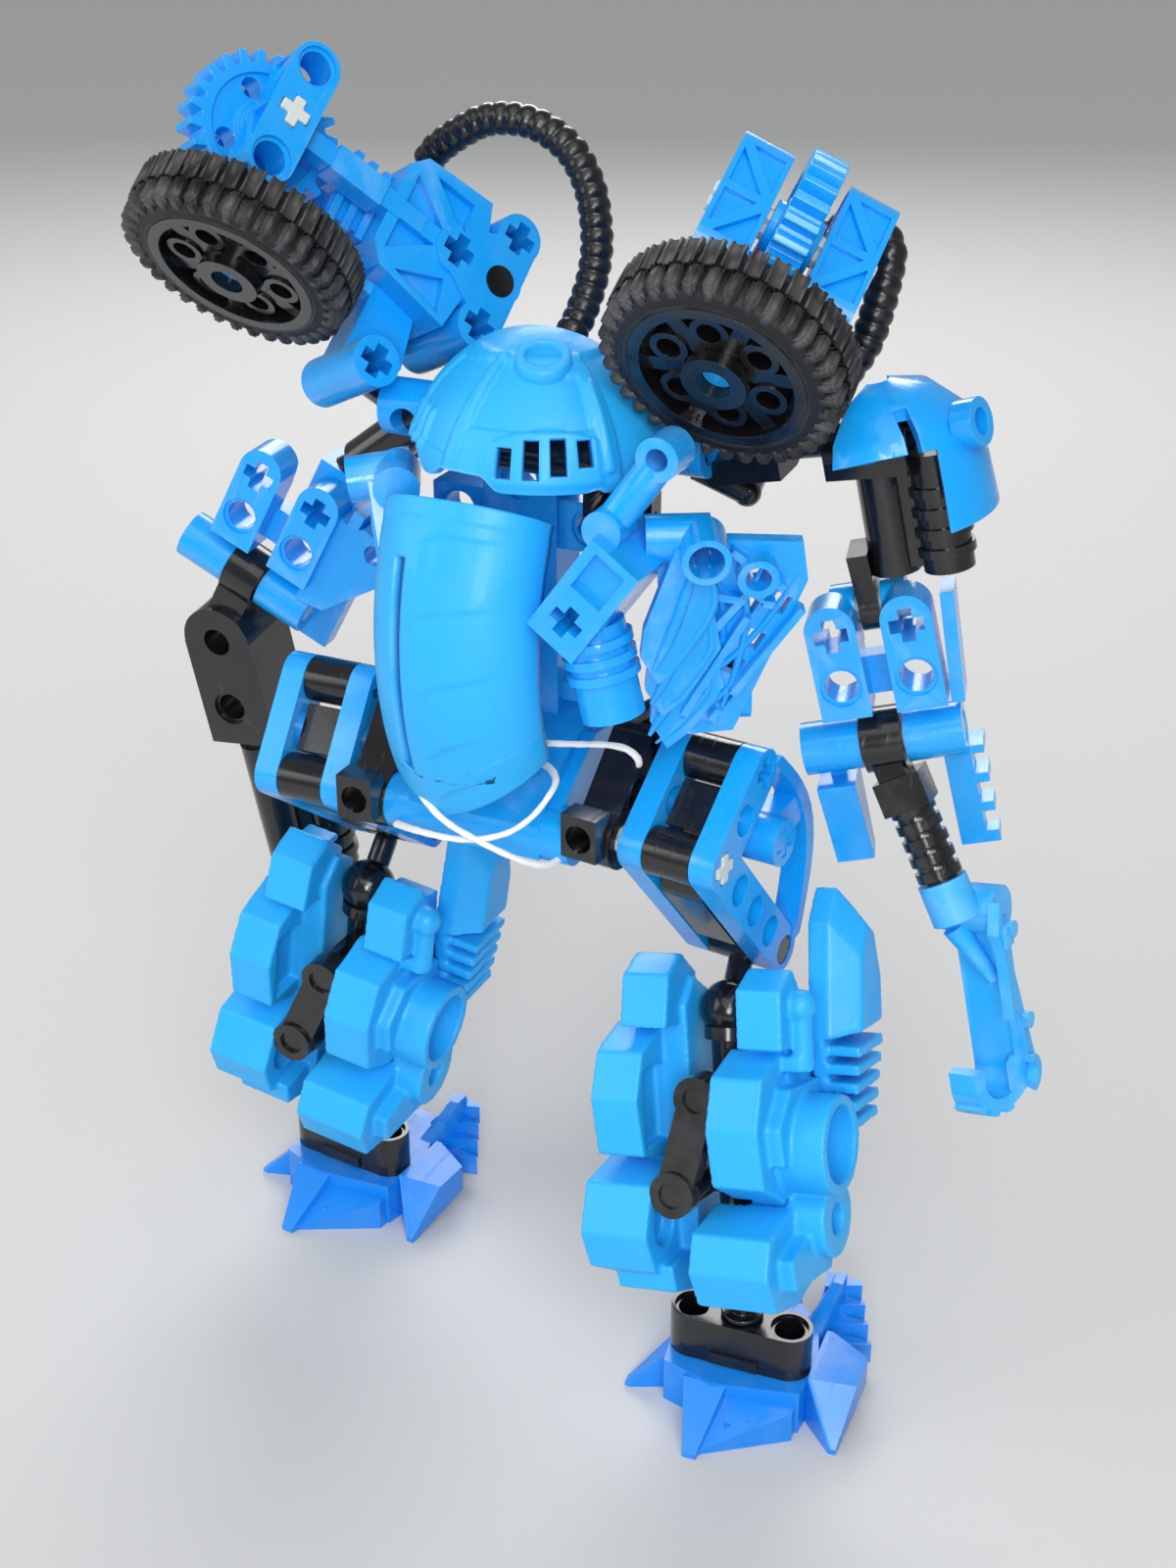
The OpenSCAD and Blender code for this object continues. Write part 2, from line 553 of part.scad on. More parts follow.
// Black brace behind the left side, from the pelvis up to the spine
module back_strut() color(black) shifted() {
    ball = [29, 3, 118];
    translate(ball) sphere(r = 3.2);
    hull() {
        translate(ball) sphere(r = 1.6);
        translate([15, -2.3, 109.6]) sphere(r = 1.6);
    }
    hull() {
        translate(ball) sphere(r = 1.6);
        translate([12, 7, 139]) sphere(r = 1.6);
    }
    translate([5, 5.3, 136]) cube([9, 3.6, 6]);
}

// Black arms from the shoulder tube to the rear pivots of the guns
gun_pivot = [5 * pitch, 0, 0];
mount_bend = [33, 12, -16.5];
module gun_mounts() color(black) {
    at_right_gun() mount_pin();
    at_left_gun() mount_pin();
    at_right_gun() mount_leg([36.95, 0.12, -22.18]);
    at_left_gun() mount_leg([30.47, 3.79, -18.51]);
    // shoulder pin of the right arm and bearing ring of the left
    shifted() translate([right_shoulder.x, 10.6, right_shoulder.z]) along_y() rod(2.38, 18.4);
    shifted() translate([right_shoulder.x, 8.8, right_shoulder.z]) along_y() rod(3.4, 6);
    difference() {
        at_left_arm() translate([-13.6, 0, 0]) union() {
            along_x() rod(3.5, 5);
            translate([-8.6, -6.4, -3.5]) cube([11.1, 6.4, 3.6]);
        }
        at_left_arm() translate([-13.6, 0, 0]) along_x() rod(hole_r, 20);
        shifted() translate([tube_mid, 2, tube_z]) along_x() rod(tube_r + 0.02, tube_l + 0.04);
    }
}
module strut(a, b, r1, r2) translate(a)
    rotate([0, acos((b - a).z / norm(b - a)), atan2((b - a).y, (b - a).x)])
        cylinder(r1 = r1, r2 = r2, h = norm(b - a));
module mount_pin() translate(gun_pivot) along_y() {
    translate([0, 0, 1.4]) rod(2.38, 21.6);
    translate([0, 0, 11.2]) rod(3.7, 3);
}
module mount_leg(root) {
    strut(gun_pivot + [0, 12.4, 0], mount_bend, 1.9, 1.9);
    strut(mount_bend, root, 1.9, 1.9);
    translate(mount_bend) sphere(r = 2.1);
}

right_hose_path = [[-30.3, 20.3, 183.4], [-28.3, 20.3, 185.8], [-24.1, 20, 188.6], [-20, 20, 190.6],
    [-16, 20, 191.2], [-12, 20, 190.8], [-8.5, 20, 189.3], [-5.6, 20, 187], [-3.5, 19.8, 184],
    [-2.1, 19.4, 180.8], [-1.3, 18.8, 177.4], [-0.8, 18, 173.8], [-0.9, 16.5, 169.6],
    [-1.4, 13.5, 165], [-2, 9.6, 161.4],
    [-2.8, 5.4, 156.4]];
module right_hose() color(black) shifted() hose_sweep(right_hose_path, 2.3);

left_hose_path = [[30.3, 21.8, 174.2], [32.5, 22.5, 177.2], [36.4, 22.8, 179.6], [40.4, 21.6, 180],
    [43.4, 19.4, 177.6], [43.6, 17.6, 173.6], [43, 16.6, 169.4], [42, 15.4, 165.2], [40, 12.8, 161.4],
    [37, 10, 158.6], [33, 8.2, 156.8]];
module left_hose() color(black) shifted() hose_sweep(left_hose_path, 2.3);

// ---------------------------------------------------------------- guns
module gun_frame(wheel_y, bracket) color(blue) difference() {
    union() {
        // ribbed barrel and its two rails
        translate([12.8, -3.4, -5]) cube([12, 6.8, 10]);
        for (i = [0 : 3]) translate([13 + 2.6 * i, -4.2, -6]) cube([1.3, 8.4, 12]);
        for (s = [-1, 1]) {
            translate([3.6, s * 7 - 1.6, -1.6]) cube([22, 3.2, 3.2]);
            translate([9, s * 7 - 2.1, -2.1]) cube([9, 4.2, 4.2]);
        }
        // body, wider to the rear
        translate([0, 8.4, 0]) rotate([90, 0, 0]) linear_extrude(16.8) polygon([[19.6, -6.4], [22, -9.4],
            [35, -11.6], [36.4, -3], [36.4, 3], [34, 10.4], [22, 9.8], [19.6, 7]]);
        for (p = [[32, 0], [40, 0], [40, 8], [40, -8]]) translate([p.x, 0, p.y]) along_y() rod(3.8, 18.4);
        for (s = [-1, 1]) translate([0, s * 8 + 1.2, 0]) rotate([90, 0, 0]) linear_extrude(2.4)
            polygon([[32, -3.6], [40, -8.4], [43.6, -8], [43.6, 8], [40, 8.4], [32, 3.6]]);
        // rear fin over the body and the hose socket
        translate([0, 5.6, 0]) rotate([90, 0, 0]) linear_extrude(6)
            polygon([[24, 9], [27, 14.6], [34.4, 15], [37.6, 11.4], [34, 9]]);
        // underslung bracket with its boss and the plate over the wheel
        if (bracket) {
            translate([0, 3.4, 0]) rotate([90, 0, 0]) linear_extrude(6.8)
                polygon([[24.6, -9], [24.6, -22], [29.6, -25], [34, -19], [32, -9]]);
            translate([28.2, 0, -22.4]) along_y() rod(3.8, 16.6);
        }
        translate([1, wheel_y - 4, -14.2]) cube([22, 8, 1.7]);
        translate([20, -3, -14]) cube([3, 6, 8]);
        translate([4.6, wheel_y, -22.2]) cylinder(r = 2.3, h = 8.2);
        translate([4.6, wheel_y, -14.8]) cylinder(r = 3.6, h = 1);
    }
    // triangular pockets on both sides
    for (s = [-1, 1]) translate([0, s * 8.4 + 1.5, 0]) rotate([90, 0, 0]) linear_extrude(3) {
        polygon([[21.6, 1.4], [21.6, 6.6], [28.8, 1.4]]);
        polygon([[24.4, 8.2], [31.6, 8.2], [31.6, 2.8]]);
        polygon([[21.6, -1.4], [21.6, -6.6], [28.4, -1.4]]);
        polygon([[24.4, -8.6], [33.4, -10.4], [32, -5]]);
    }
    translate([40, 0, 0]) along_y() rod(2.44, 20);
    for (p = [[32, 0], [40, 8], [40, -8]]) translate([p.x, 0, p.y]) along_y() axle_cross(20, 5, 2);
    translate([28.2, 0, -22.4]) along_y() axle_cross(20, 5, 2);
    translate([17, 0, 0]) rotate([0, 90, 0]) cylinder(r = 2.2, h = 6, center = true);
}
right_wheel_y = -4;
left_wheel_y = -0.5;
module right_gun_frame() at_right_gun() gun_frame(right_wheel_y, true);
module left_gun_frame() at_left_gun() gun_frame(left_wheel_y, false);

module gun_end_beams() color(blue) for (s = [-1, 1])
    translate([0, s * pitch, 0]) rotate([0, 90, 0]) rotate([90, 0, 0]) beam(3, 7.5, [1]);
module right_gun_end_beams() at_right_gun() gun_end_beams();
module left_gun_end_beams() at_left_gun() gun_end_beams();

gear_r = 11.8;
gear_root_r = 9.9;
module gun_gear() color(blue) along_y() difference() {
    union() {
        translate([0, 0, -2.5]) linear_extrude(5) polygon([for (i = [0 : gear_teeth - 1])
            for (t = [[-0.36, gear_root_r], [-0.17, gear_r], [0.17, gear_r], [0.36, gear_root_r]])
                let (a = 360 / gear_teeth * (i + t.x)) t.y * [cos(a), sin(a)]]);
        rod(3.8, 7.2);
    }
    rod(2.44, 9);
    for (s = [-1, 1]) translate([0, 0, s * 2.9]) difference() {
        rod(8.4, 2);
        rod(4.6, 3);
    }
    for (a = [0 : 90 : 270]) rotate([0, 0, a + 45]) translate([6.4, 0, 0]) rod(1.5, 9);
}
module right_gun_gear() at_right_gun() gun_gear();
module left_gun_gear() at_left_gun() gun_gear();

module gun_axle() color(pale) along_y() axle_cross(24.4, 4.5, 1.7);
module right_gun_axle() at_right_gun() gun_axle();
module left_gun_axle() at_left_gun() gun_axle();

// Wheel frame: origin at the tyre's inner side, Z outwards
wheel_w = 8;
lugs = 36;
rim_r = 12.6;
module at_wheel(wheel_y) translate([4.6, wheel_y, -15.1]) mirror([0, 0, 1]) children();
module gun_tyre(wheel_y) color(black) at_wheel(wheel_y) difference() {
    union() {
        for (z = [0, wheel_w - 2.2]) translate([0, 0, z]) linear_extrude(2.2)
            polygon([for (i = [0 : lugs - 1]) for (t = [[-0.4, -1.5], [-0.22, 0], [0.22, 0], [0.4, -1.5]])
                let (a = 360 / lugs * (i + t.x + (z > 0 ? 0.5 : 0))) (tyre_d / 2 + t.y) * [cos(a), sin(a)]]);
        translate([0, 0, 1]) cylinder(r = tyre_d / 2 - 1.5, h = wheel_w - 2, $fn = 72);
    }
    translate([0, 0, -cut]) cylinder(r = rim_r + 0.02, h = wheel_w + 1, $fn = 64);
}
module right_gun_tyre() at_right_gun() gun_tyre(right_wheel_y);
module left_gun_tyre() at_left_gun() gun_tyre(left_wheel_y);

module gun_hub(wheel_y) color(black) at_wheel(wheel_y) difference() {
    union() {
        difference() {
            cylinder(r = rim_r, h = wheel_w, $fn = 64);
            translate([0, 0, wheel_w - 3]) cylinder(r = 10.9, h = 4, $fn = 64);
        }
        translate([0, 0, 1]) cylinder(r = 4.6, h = wheel_w);
        for (a = [0 : 60 : 300]) rotate([0, 0, a]) translate([3, -1.2, 3]) cube([8.8, 2.4, 3.6]);
        for (a = [30 : 60 : 330]) rotate([0, 0, a]) translate([7.4, 0, 1]) cylinder(r = 2.7, h = 6);
    }
    translate([0, 0, -1]) cylinder(r = 2.4, h = wheel_w + 4);
    for (a = [30 : 60 : 330]) rotate([0, 0, a]) translate([7.4, 0, 4]) cylinder(r = 1.7, h = 6);
}
module right_gun_hub() at_right_gun() gun_hub(right_wheel_y);
module left_gun_hub() at_left_gun() gun_hub(left_wheel_y);

// ---------------------------------------------------------------- left arm
// Arm frame: origin at the shoulder pin, X along it, the upper arm hanging down -Z
left_shoulder = [45, 8.6, 154];
module at_left_arm() shifted() translate(left_shoulder) rotate([3, -12, 0]) children();
module at_left_forearm() shifted() translate([47.3, 8.5, 127.4]) rotate([0, -14, 14]) children();
left_tube = [-1.6, 0.6, -19.6];  // cross tube in the forearm's frame

pad_profile = [[12.9, -10.6], [14.5, -11], [14, -4], [11.8, 3], [7.6, 7], [2, 8.6], [2, 7], [6.8, 5.4],
    [10.2, 1.8], [12.2, -4.6]];
module shoulder_pad() color(blue) at_left_arm() translate([2.6, 0, -0.6]) difference() {
    union() {
        rotate([0, 0, -106]) rotate_extrude(angle = 158, $fn = 64) polygon(pad_profile);
        rotate([0, 82, -8]) translate([0, 0, 12]) cylinder(r = 3.4, h = 3.2);
        rotate([0, 0, -106]) translate([4.6, -0.4, -6]) cube([6.4, 1.6, 9]);
    }
    // lower edge rising to the front, slot beside the crest and hole in the boss
    rotate([0, 0, -66]) translate([-2, -24, -27]) rotate([0, -18, 0]) cube([40, 30, 22]);
    rotate([0, 0, -52]) translate([8, -1, -3]) cube([8, 2, 9]);
    rotate([0, 82, -8]) translate([0, 0, 9]) cylinder(r = 1.9, h = 12);
}

// Twin barrels side by side, one ribbed
module twin_barrel(length, ribs) {
    for (x = [-3.95, 3.95]) translate([x, 0, -length]) cylinder(r = 3.7, h = length);
    translate([-3, -2.2, -length + 1]) cube([6, 4.4, length - 2]);
    for (i = [0 : ribs - 1]) translate([3.95, 0, -length + 2.4 + 3 * i]) cylinder(r = 4.2, h = 1.4);
}
module left_upper_arm() {
    color(black) difference() {
        union() {
            at_left_arm() {
                translate([4.6, 2, -3]) twin_barrel(17.6, 4);
                translate([0.6, 0, -2]) along_x() rod(4, 12);
                translate([-5.6, -3.6, -5]) cube([12, 7.2, 4]);
            }
            at_left_forearm() elbow_tongue();
        }
        at_left_arm() along_x() rod(hole_r, 20);
    }
    color(pale) at_left_arm() translate([-8, 0, 0]) along_x() rod(2.38, 16.2);
}

// Elbow: a tongue on the upper arm between two ears behind the forearm's plates
elbow_y = 3.4;
elbow_z = 0.6;
module elbow_tongue() difference() {
    union() {
        translate([0, elbow_y, elbow_z]) along_x() rod(3.7, 3);
        side(-1.5, 1.5) polygon([[0.4, 1], [6.6, 1], [6, 10], [-2, 10]]);
    }
    translate([0, elbow_y, elbow_z]) along_x() rod(hole_r, 5);
}

// Forearm: plates with an axle hole and a pin hole each, facing forward
module forearm(width, ears) color(blue) difference() {
    union() {
        for (s = [-1, 1]) translate([s * width / 2, -2.2, -8.6]) {
            translate([-3.7, -2.6, -5]) cube([7.4, 6.4, 14]);
            translate([0, -2.6, 9]) along_y() translate([0, 0, 3.2]) rod(3.7, 6.4);
        }
        if (ears)
            for (s = [-1, 1]) translate([s * 3.7, elbow_y, elbow_z]) {
                along_x() rod(3.7, 3.6);
                translate([-1.8, -3.4, -5]) cube([3.6, 3.4, 5]);
            }
        translate([-width / 2, 0, -12]) cube([width, 3.4, 6]);
        translate([width / 2 + 4, -3, -14]) rotate([0, 4, 0]) cube([2, 7, 17]);
        translate(left_tube) along_x() rod(4, 24);
    }
    for (s = [-1, 1]) translate([s * width / 2, -1, 0]) {
        translate([0, 0, -0.4]) along_y() axle_cross(12, 5, 2);
        translate([0, 0, -8.4]) along_y() pin_hole(8);
    }
    translate([0, elbow_y, elbow_z]) along_x() rod(2.4, 12);
    translate(left_tube) along_x() rod(2.42, 30);
    // room for the clamp in the middle of the tube and for the elbow's tongue
    translate(left_tube) along_x() rod(6.4, 6.6);
    translate([-1.8, -6, -6]) cube([3.6, 14, 14]);
}
module left_forearm_yoke() at_left_forearm() forearm(11, true);
module tube_axle() color(pale) translate(left_tube) along_x() rod(2.36, 23.6);
module left_elbow_axle() at_left_forearm() {
    tube_axle();
    color(pale) translate([0, elbow_y, elbow_z]) along_x() rod(2.36, 11.4);
}

// Black clamp round the tube's middle with its ribbed shaft
module at_left_wrist() at_left_forearm() translate(left_tube) rotate([-15.1, -13.2, 0]) children();
module left_wrist_clamp() color(black) difference() {
    union() {
        at_left_forearm() translate(left_tube) along_x() rod(4.9, 6);
        at_left_wrist() {
            translate([-2.6, -3.4, -7]) cube([4.4, 6.8, 5]);
            translate([-3.6, -4, -11]) cube([7.2, 8, 5.2]);
            translate([0, 0, -22.6]) cylinder(r = 2.9, h = 15);
            for (i = [0 : 4]) translate([0, 0, -22.4 + 2.6 * i]) cylinder(r = 3.5, h = 1.5);
            translate([0, 0, -28]) cylinder(r = 2.36, h = 7);
        }
    }
    at_left_forearm() translate(left_tube) along_x() rod(2.44, 9);
}

// Two wedge fins under the cross tube, the outer one slotted
module forearm_fins() color(blue) at_left_forearm() translate(left_tube) {
    for (x = [-8, 10.6]) translate([x - 1.2, 1, -6]) cube([2.4, 2.4, 3.2]);
    side(-11, -5.2) polygon([[-3.6, -5.4], [5, -5.4], [4, -19], [0.6, -20]]);
    difference() {
        side(8, 14) polygon([[0.8, -3.6], [6.5, -3.6], [5.5, -19.4], [2, -20.4]]);
        for (i = [0 : 2]) translate([12, -6, -18.4 + 5 * i]) cube([3, 14, 3.4]);
    }
}

// Hook frame: origin in its cross socket, the arm going down -Z
module at_hook() shifted() translate([66.2, 9.6, 83.4]) rotate([2, -12, -8]) children();
curl_r = 3.4;                    // inside the curl
strap = [8, 2];                  // width and thickness
module at_curl() at_hook() translate([-3.4, -1.2 - curl_r, -27]) rotate([0, 90, 0]) children();
module curl(from, angle, r, size) rotate([0, 0, from]) rotate_extrude(angle = angle, $fn = 64)
    translate([r, 0]) square(size);
module hook() color(light_blue) difference() {
    union() {
        at_left_wrist() translate([0, 0, -29.4]) cylinder(r = 3.8, h = 6.4);
        at_hook() {
            translate([-0.6, 0, -0.4]) along_x() rod(3.8, 9.6);
            // bracket beside the socket, with a pin end
            side(4, 5.8) polygon([[-3.6, 2.6], [-2.6, -4.6], [1.6, -27], [-4, -27], [-3.8, -6], [-5.4, -2]]);
            translate([6.2, -2, -2.4]) along_x() rod(1.3, 1.4);
            translate([5, -4.4, -4.6]) cube([1.6, 2.4, 3.2]);
            translate([6.2, -0.6, -18.6]) along_x() rod(1.3, 1.4);
            // strap with a cone strut under the socket
            translate([-3.4, -1.2, -27]) cube([strap.x, strap.y, 25.4]);
            strut([-2.6, -2.6, -2.6], [2.2, -1.6, -11.6], 2, 1.1);
            translate([5, -1.8, -27.4]) along_x() rod(3.1, 3.4);
        }
        // curled end, its tip pointing back up, with ridges outside
        at_curl() {
            curl(-90, 180, curl_r, [strap.y, strap.x]);
            for (a = [-58, -30, -2]) curl(a, 14, curl_r + 1.5, [1.3, strap.x]);
            translate([-3, -curl_r - strap.y, 0]) cube([3.1, strap.y, strap.x]);
        }
    }
    at_left_wrist() translate([0, 0, -28.4]) cylinder(r = 2.44, h = 7);
    at_hook() translate([6.6, -1.8, -27.4]) along_x() rod(1.7, 3);
    // the end narrows towards its tip
    at_curl() translate([0, 0, 6.4]) rotate([22, 0, 0]) translate([-10, -20, 0]) cube([20, 24, 10]);
}

// ---------------------------------------------------------------- right arm
right_shoulder = [-23, 16, 150];
elbow_ball = [5.2, 4.8, 4.2];    // in the forearm's frame
module at_right_arm() shifted() translate(right_shoulder) rotate([0, 53.2, 0]) children();
module at_right_forearm() shifted() translate([-50, 10.6, 133]) rotate([0, 28, 6]) children();

module right_upper_arm() color(black) difference() {
    union() {
        at_right_arm() {
            translate([0, 0, -6.6]) rotate([0, 0, 90]) twin_barrel(13.6, 4);
            along_y() rod(3.7, 7.4);
            translate([-3, -3.6, -8]) cube([6, 7.2, 7]);
            translate([0, 0, -25]) cylinder(r = 2, h = 6);
        }
        at_right_forearm() translate(elbow_ball) sphere(r = 3);
    }
    at_right_arm() along_y() rod(hole_r, 12);
}

module right_forearm_yoke() color(blue) at_right_forearm() {
    forearm(11, false);
    // notched wedge on the inner side
    translate([11, 0, -4]) rotate([90, 0, 0]) difference() {
        translate([0, 0, -3]) linear_extrude(6) polygon([[-3, 6], [8, 4], [9, -2], [2, -12], [-3, -13]]);
        translate([5.6, 2, 0]) rod(1.7, 8);
        translate([0, 7, 0]) rod(3, 8);
    }
    // socket of the elbow ball behind the plates
    difference() {
        translate([1, 1.2, -3]) cube([8.4, 7.8, 8.4]);
        translate(elbow_ball) sphere(r = 3.06);
        translate(elbow_ball) rotate([0, 20, 0]) cylinder(r1 = 2.7, r2 = 8, h = 8);
    }
    translate(left_tube + [9, 2.4, -6]) cube([7.4, 4, 11]);
}
module right_elbow_axle() at_right_forearm() tube_axle();

module right_wrist_clamp() color(black) at_right_forearm() translate(left_tube) difference() {
    union() {
        along_x() rod(4.9, 6);
        translate([-3, -4, -9.6]) cube([6, 8, 6.6]);
    }
    along_x() rod(2.44, 9);
}

// Black tool held in the right hand: a block over a twin barrel
module hand_tool() color(black) shifted() translate([-65.4, 10.6, 108.6]) rotate([8, -6, 0]) {
    difference() {
        union() {
            translate([-6.5, -6, -23]) cube([13, 12, 20]);
            translate([0, 0, -3.2]) along_y() rod(6.4, 12);
            translate([4, 0, -27]) along_y() rod(5, 10);
        }
        translate([0, 0, -3]) along_y() rod(hole_r, 14);
        translate([-1, 0, -16]) along_y() pin_hole(12);
    }
    translate([4, 0, -24]) rotate([0, 0, 40]) twin_barrel(28, 3);
}

left_foot();
left_ankle_beam();
left_ankle_post();
left_shin_core();
left_shin_inner_shell();
left_shin_outer_shell();
left_calf_fins();
left_thigh_beams();
left_thigh_spacers();
right_foot();
right_ankle_beam();
right_ankle_post();
right_shin_core();
right_shin_inner_shell();
right_shin_outer_shell();
right_calf_fins();
right_thigh_beams();
right_thigh_spacers();
left_hip_axle();
right_hip_axle();
hip_guard();
pelvis_saddle();
hip_blocks();
elastic_band();
spine_frame();
belly_plate();
head_dome();
neck_yoke();
left_rib_panel();
right_rib_panel();
chest_block();
chest_piston();
back_strut();
gun_mounts();
right_hose();
left_hose();
right_gun_frame();
right_gun_end_beams();
right_gun_gear();
right_gun_axle();
right_gun_tyre();
right_gun_hub();
left_gun_frame();
left_gun_end_beams();
left_gun_gear();
left_gun_axle();
left_gun_tyre();
left_gun_hub();
shoulder_pad();
left_upper_arm();
left_forearm_yoke();
left_elbow_axle();
left_wrist_clamp();
forearm_fins();
hook();
right_upper_arm();
right_forearm_yoke();
right_elbow_axle();
right_wrist_clamp();
hand_tool();
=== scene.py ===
import json
import math

import bmesh
import bpy
from mathutils import Matrix, Vector

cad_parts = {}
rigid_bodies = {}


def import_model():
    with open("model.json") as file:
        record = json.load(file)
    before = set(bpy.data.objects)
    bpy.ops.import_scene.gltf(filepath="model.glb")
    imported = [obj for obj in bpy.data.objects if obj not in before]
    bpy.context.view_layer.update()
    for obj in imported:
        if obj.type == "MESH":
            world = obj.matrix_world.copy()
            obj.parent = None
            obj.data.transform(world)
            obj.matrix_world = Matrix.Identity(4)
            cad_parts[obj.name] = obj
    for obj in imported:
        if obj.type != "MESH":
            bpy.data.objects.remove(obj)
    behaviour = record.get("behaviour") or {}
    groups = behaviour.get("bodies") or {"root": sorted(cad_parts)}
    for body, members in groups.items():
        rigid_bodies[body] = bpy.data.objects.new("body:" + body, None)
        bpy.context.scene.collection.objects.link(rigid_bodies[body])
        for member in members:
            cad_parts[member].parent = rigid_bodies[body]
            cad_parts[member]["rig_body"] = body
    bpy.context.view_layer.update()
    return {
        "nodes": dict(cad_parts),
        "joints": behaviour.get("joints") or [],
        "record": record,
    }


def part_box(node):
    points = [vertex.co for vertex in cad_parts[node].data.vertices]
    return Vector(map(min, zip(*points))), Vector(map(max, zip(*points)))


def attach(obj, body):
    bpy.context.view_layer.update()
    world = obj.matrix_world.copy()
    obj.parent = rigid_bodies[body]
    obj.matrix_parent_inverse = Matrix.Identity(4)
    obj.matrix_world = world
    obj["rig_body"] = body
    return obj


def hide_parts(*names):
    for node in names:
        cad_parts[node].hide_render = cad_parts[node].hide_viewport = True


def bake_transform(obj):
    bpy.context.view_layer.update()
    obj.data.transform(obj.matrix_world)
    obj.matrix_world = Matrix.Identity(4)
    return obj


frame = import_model()
MM = 0.001
joints = {j["name"]: j for j in frame["joints"]}
nodes = frame["nodes"]
SLOT_OF = {s["node"]: s["material_slot"] for s in frame["record"]["subparts"]}
scene_objects = bpy.context.scene.collection.objects


# ------------------------------------------------------------ materials
# texture scales, in features per metre
MOTTLE_SCALE = 60
GLOSS_SCALE = 110
RUB_AND_HIGHLIGHT_SCALE = 220
SCUFF_SCALE = 900
GRAIN_SCALE = 2600
# strength of the colour mottling
MOTTLE = 0.04


def plastic(name, base, rough, coat=0.0, grain=0.15, edge_wear_and_highlight=0.25, sheen=0.0, spec=0.5):
    """Moulded plastic: slight mottling, uneven gloss, fine grain, long scuffs, and paler edges that are partly
    wear and partly a painted highlight.
    """
    m = bpy.data.materials.new(name)
    m.use_nodes = True
    t = m.node_tree
    n, link = t.nodes, t.links.new
    p = n["Principled BSDF"]
    where = n.new("ShaderNodeTexCoord")

    def noise(scale, detail=4.0, stretch=None):
        node = n.new("ShaderNodeTexNoise")
        node.inputs["Scale"].default_value = scale
        node.inputs["Detail"].default_value = detail
        if stretch:
            s = n.new("ShaderNodeMapping")
            s.inputs["Scale"].default_value = stretch
            s.inputs["Rotation"].default_value = (0.5, 0.3, 0.8)
            link(where.outputs["Object"], s.inputs["Vector"])
            link(s.outputs["Vector"], node.inputs["Vector"])
        else:
            link(where.outputs["Object"], node.inputs["Vector"])
        return node.outputs["Fac"]

    def ramp(value, low, high, out_low, out_high):
        node = n.new("ShaderNodeMapRange")
        link(value, node.inputs["Value"])
        for k, v in (("From Min", low), ("From Max", high), ("To Min", out_low), ("To Max", out_high)):
            node.inputs[k].default_value = v
        return node.outputs["Result"]

    def mix(factor, a, b):
        """Colour mix; a and b are colours or sockets."""
        node = n.new("ShaderNodeMix")
        node.data_type = "RGBA"
        link(factor, node.inputs["Factor"])
        for socket, v in (("A", a), ("B", b)):
            target = next(i for i in node.inputs if i.name == socket and i.type == "RGBA")
            if hasattr(v, "is_output"):
                link(v, target)
            else:
                target.default_value = (*v, 1)
        return next(o for o in node.outputs if o.type == "RGBA")

    dark = [c * (1 - 2.2 * MOTTLE) for c in base]
    light = [min(1, c * (1 + MOTTLE) + 0.1 * MOTTLE) for c in base]
    colour = mix(noise(MOTTLE_SCALE), dark, light)
    # edges are painted paler by pointiness, broken up by noise: partly wear, partly a painted highlight
    edge = n.new("ShaderNodeNewGeometry").outputs["Pointiness"]
    wear_and_highlight_mask = ramp(edge, 0.53, 0.62, 0.0, edge_wear_and_highlight)
    rubbed_wear_and_highlight = n.new("ShaderNodeMath")
    rubbed_wear_and_highlight.operation = "MULTIPLY"
    link(wear_and_highlight_mask, rubbed_wear_and_highlight.inputs[0])
    link(ramp(noise(RUB_AND_HIGHLIGHT_SCALE), 0.4, 0.62, 0.15, 1.0), rubbed_wear_and_highlight.inputs[1])
    pale_wear_and_highlight = [min(1, c * 0.75 + 0.3) for c in base]
    colour = mix(rubbed_wear_and_highlight.outputs[0], colour, pale_wear_and_highlight)
    link(colour, p.inputs["Base Color"])
    gloss = n.new("ShaderNodeMath")
    gloss.operation = "ADD"
    link(ramp(noise(GLOSS_SCALE), 0.3, 0.7, rough * 0.75, rough * 1.3), gloss.inputs[0])
    scuffs = noise(SCUFF_SCALE, 2.0, (1.0, 0.06, 0.4))
    link(ramp(scuffs, 0.62, 0.7, 0.0, 0.16), gloss.inputs[1])
    link(gloss.outputs[0], p.inputs["Roughness"])
    bump = n.new("ShaderNodeBump")
    bump.inputs["Strength"].default_value = grain
    bump.inputs["Distance"].default_value = 0.1 * MM
    height = n.new("ShaderNodeMath")
    height.operation = "ADD"
    link(noise(GRAIN_SCALE, 2.0), height.inputs[0])
    link(ramp(scuffs, 0.6, 0.72, 0.0, -0.8), height.inputs[1])
    link(height.outputs[0], bump.inputs["Height"])
    link(bump.outputs["Normal"], p.inputs["Normal"])
    p.inputs["Coat Weight"].default_value = coat
    p.inputs["Coat Roughness"].default_value = 0.12
    p.inputs["Specular IOR Level"].default_value = spec
    p.inputs["Sheen Weight"].default_value = sheen
    return m


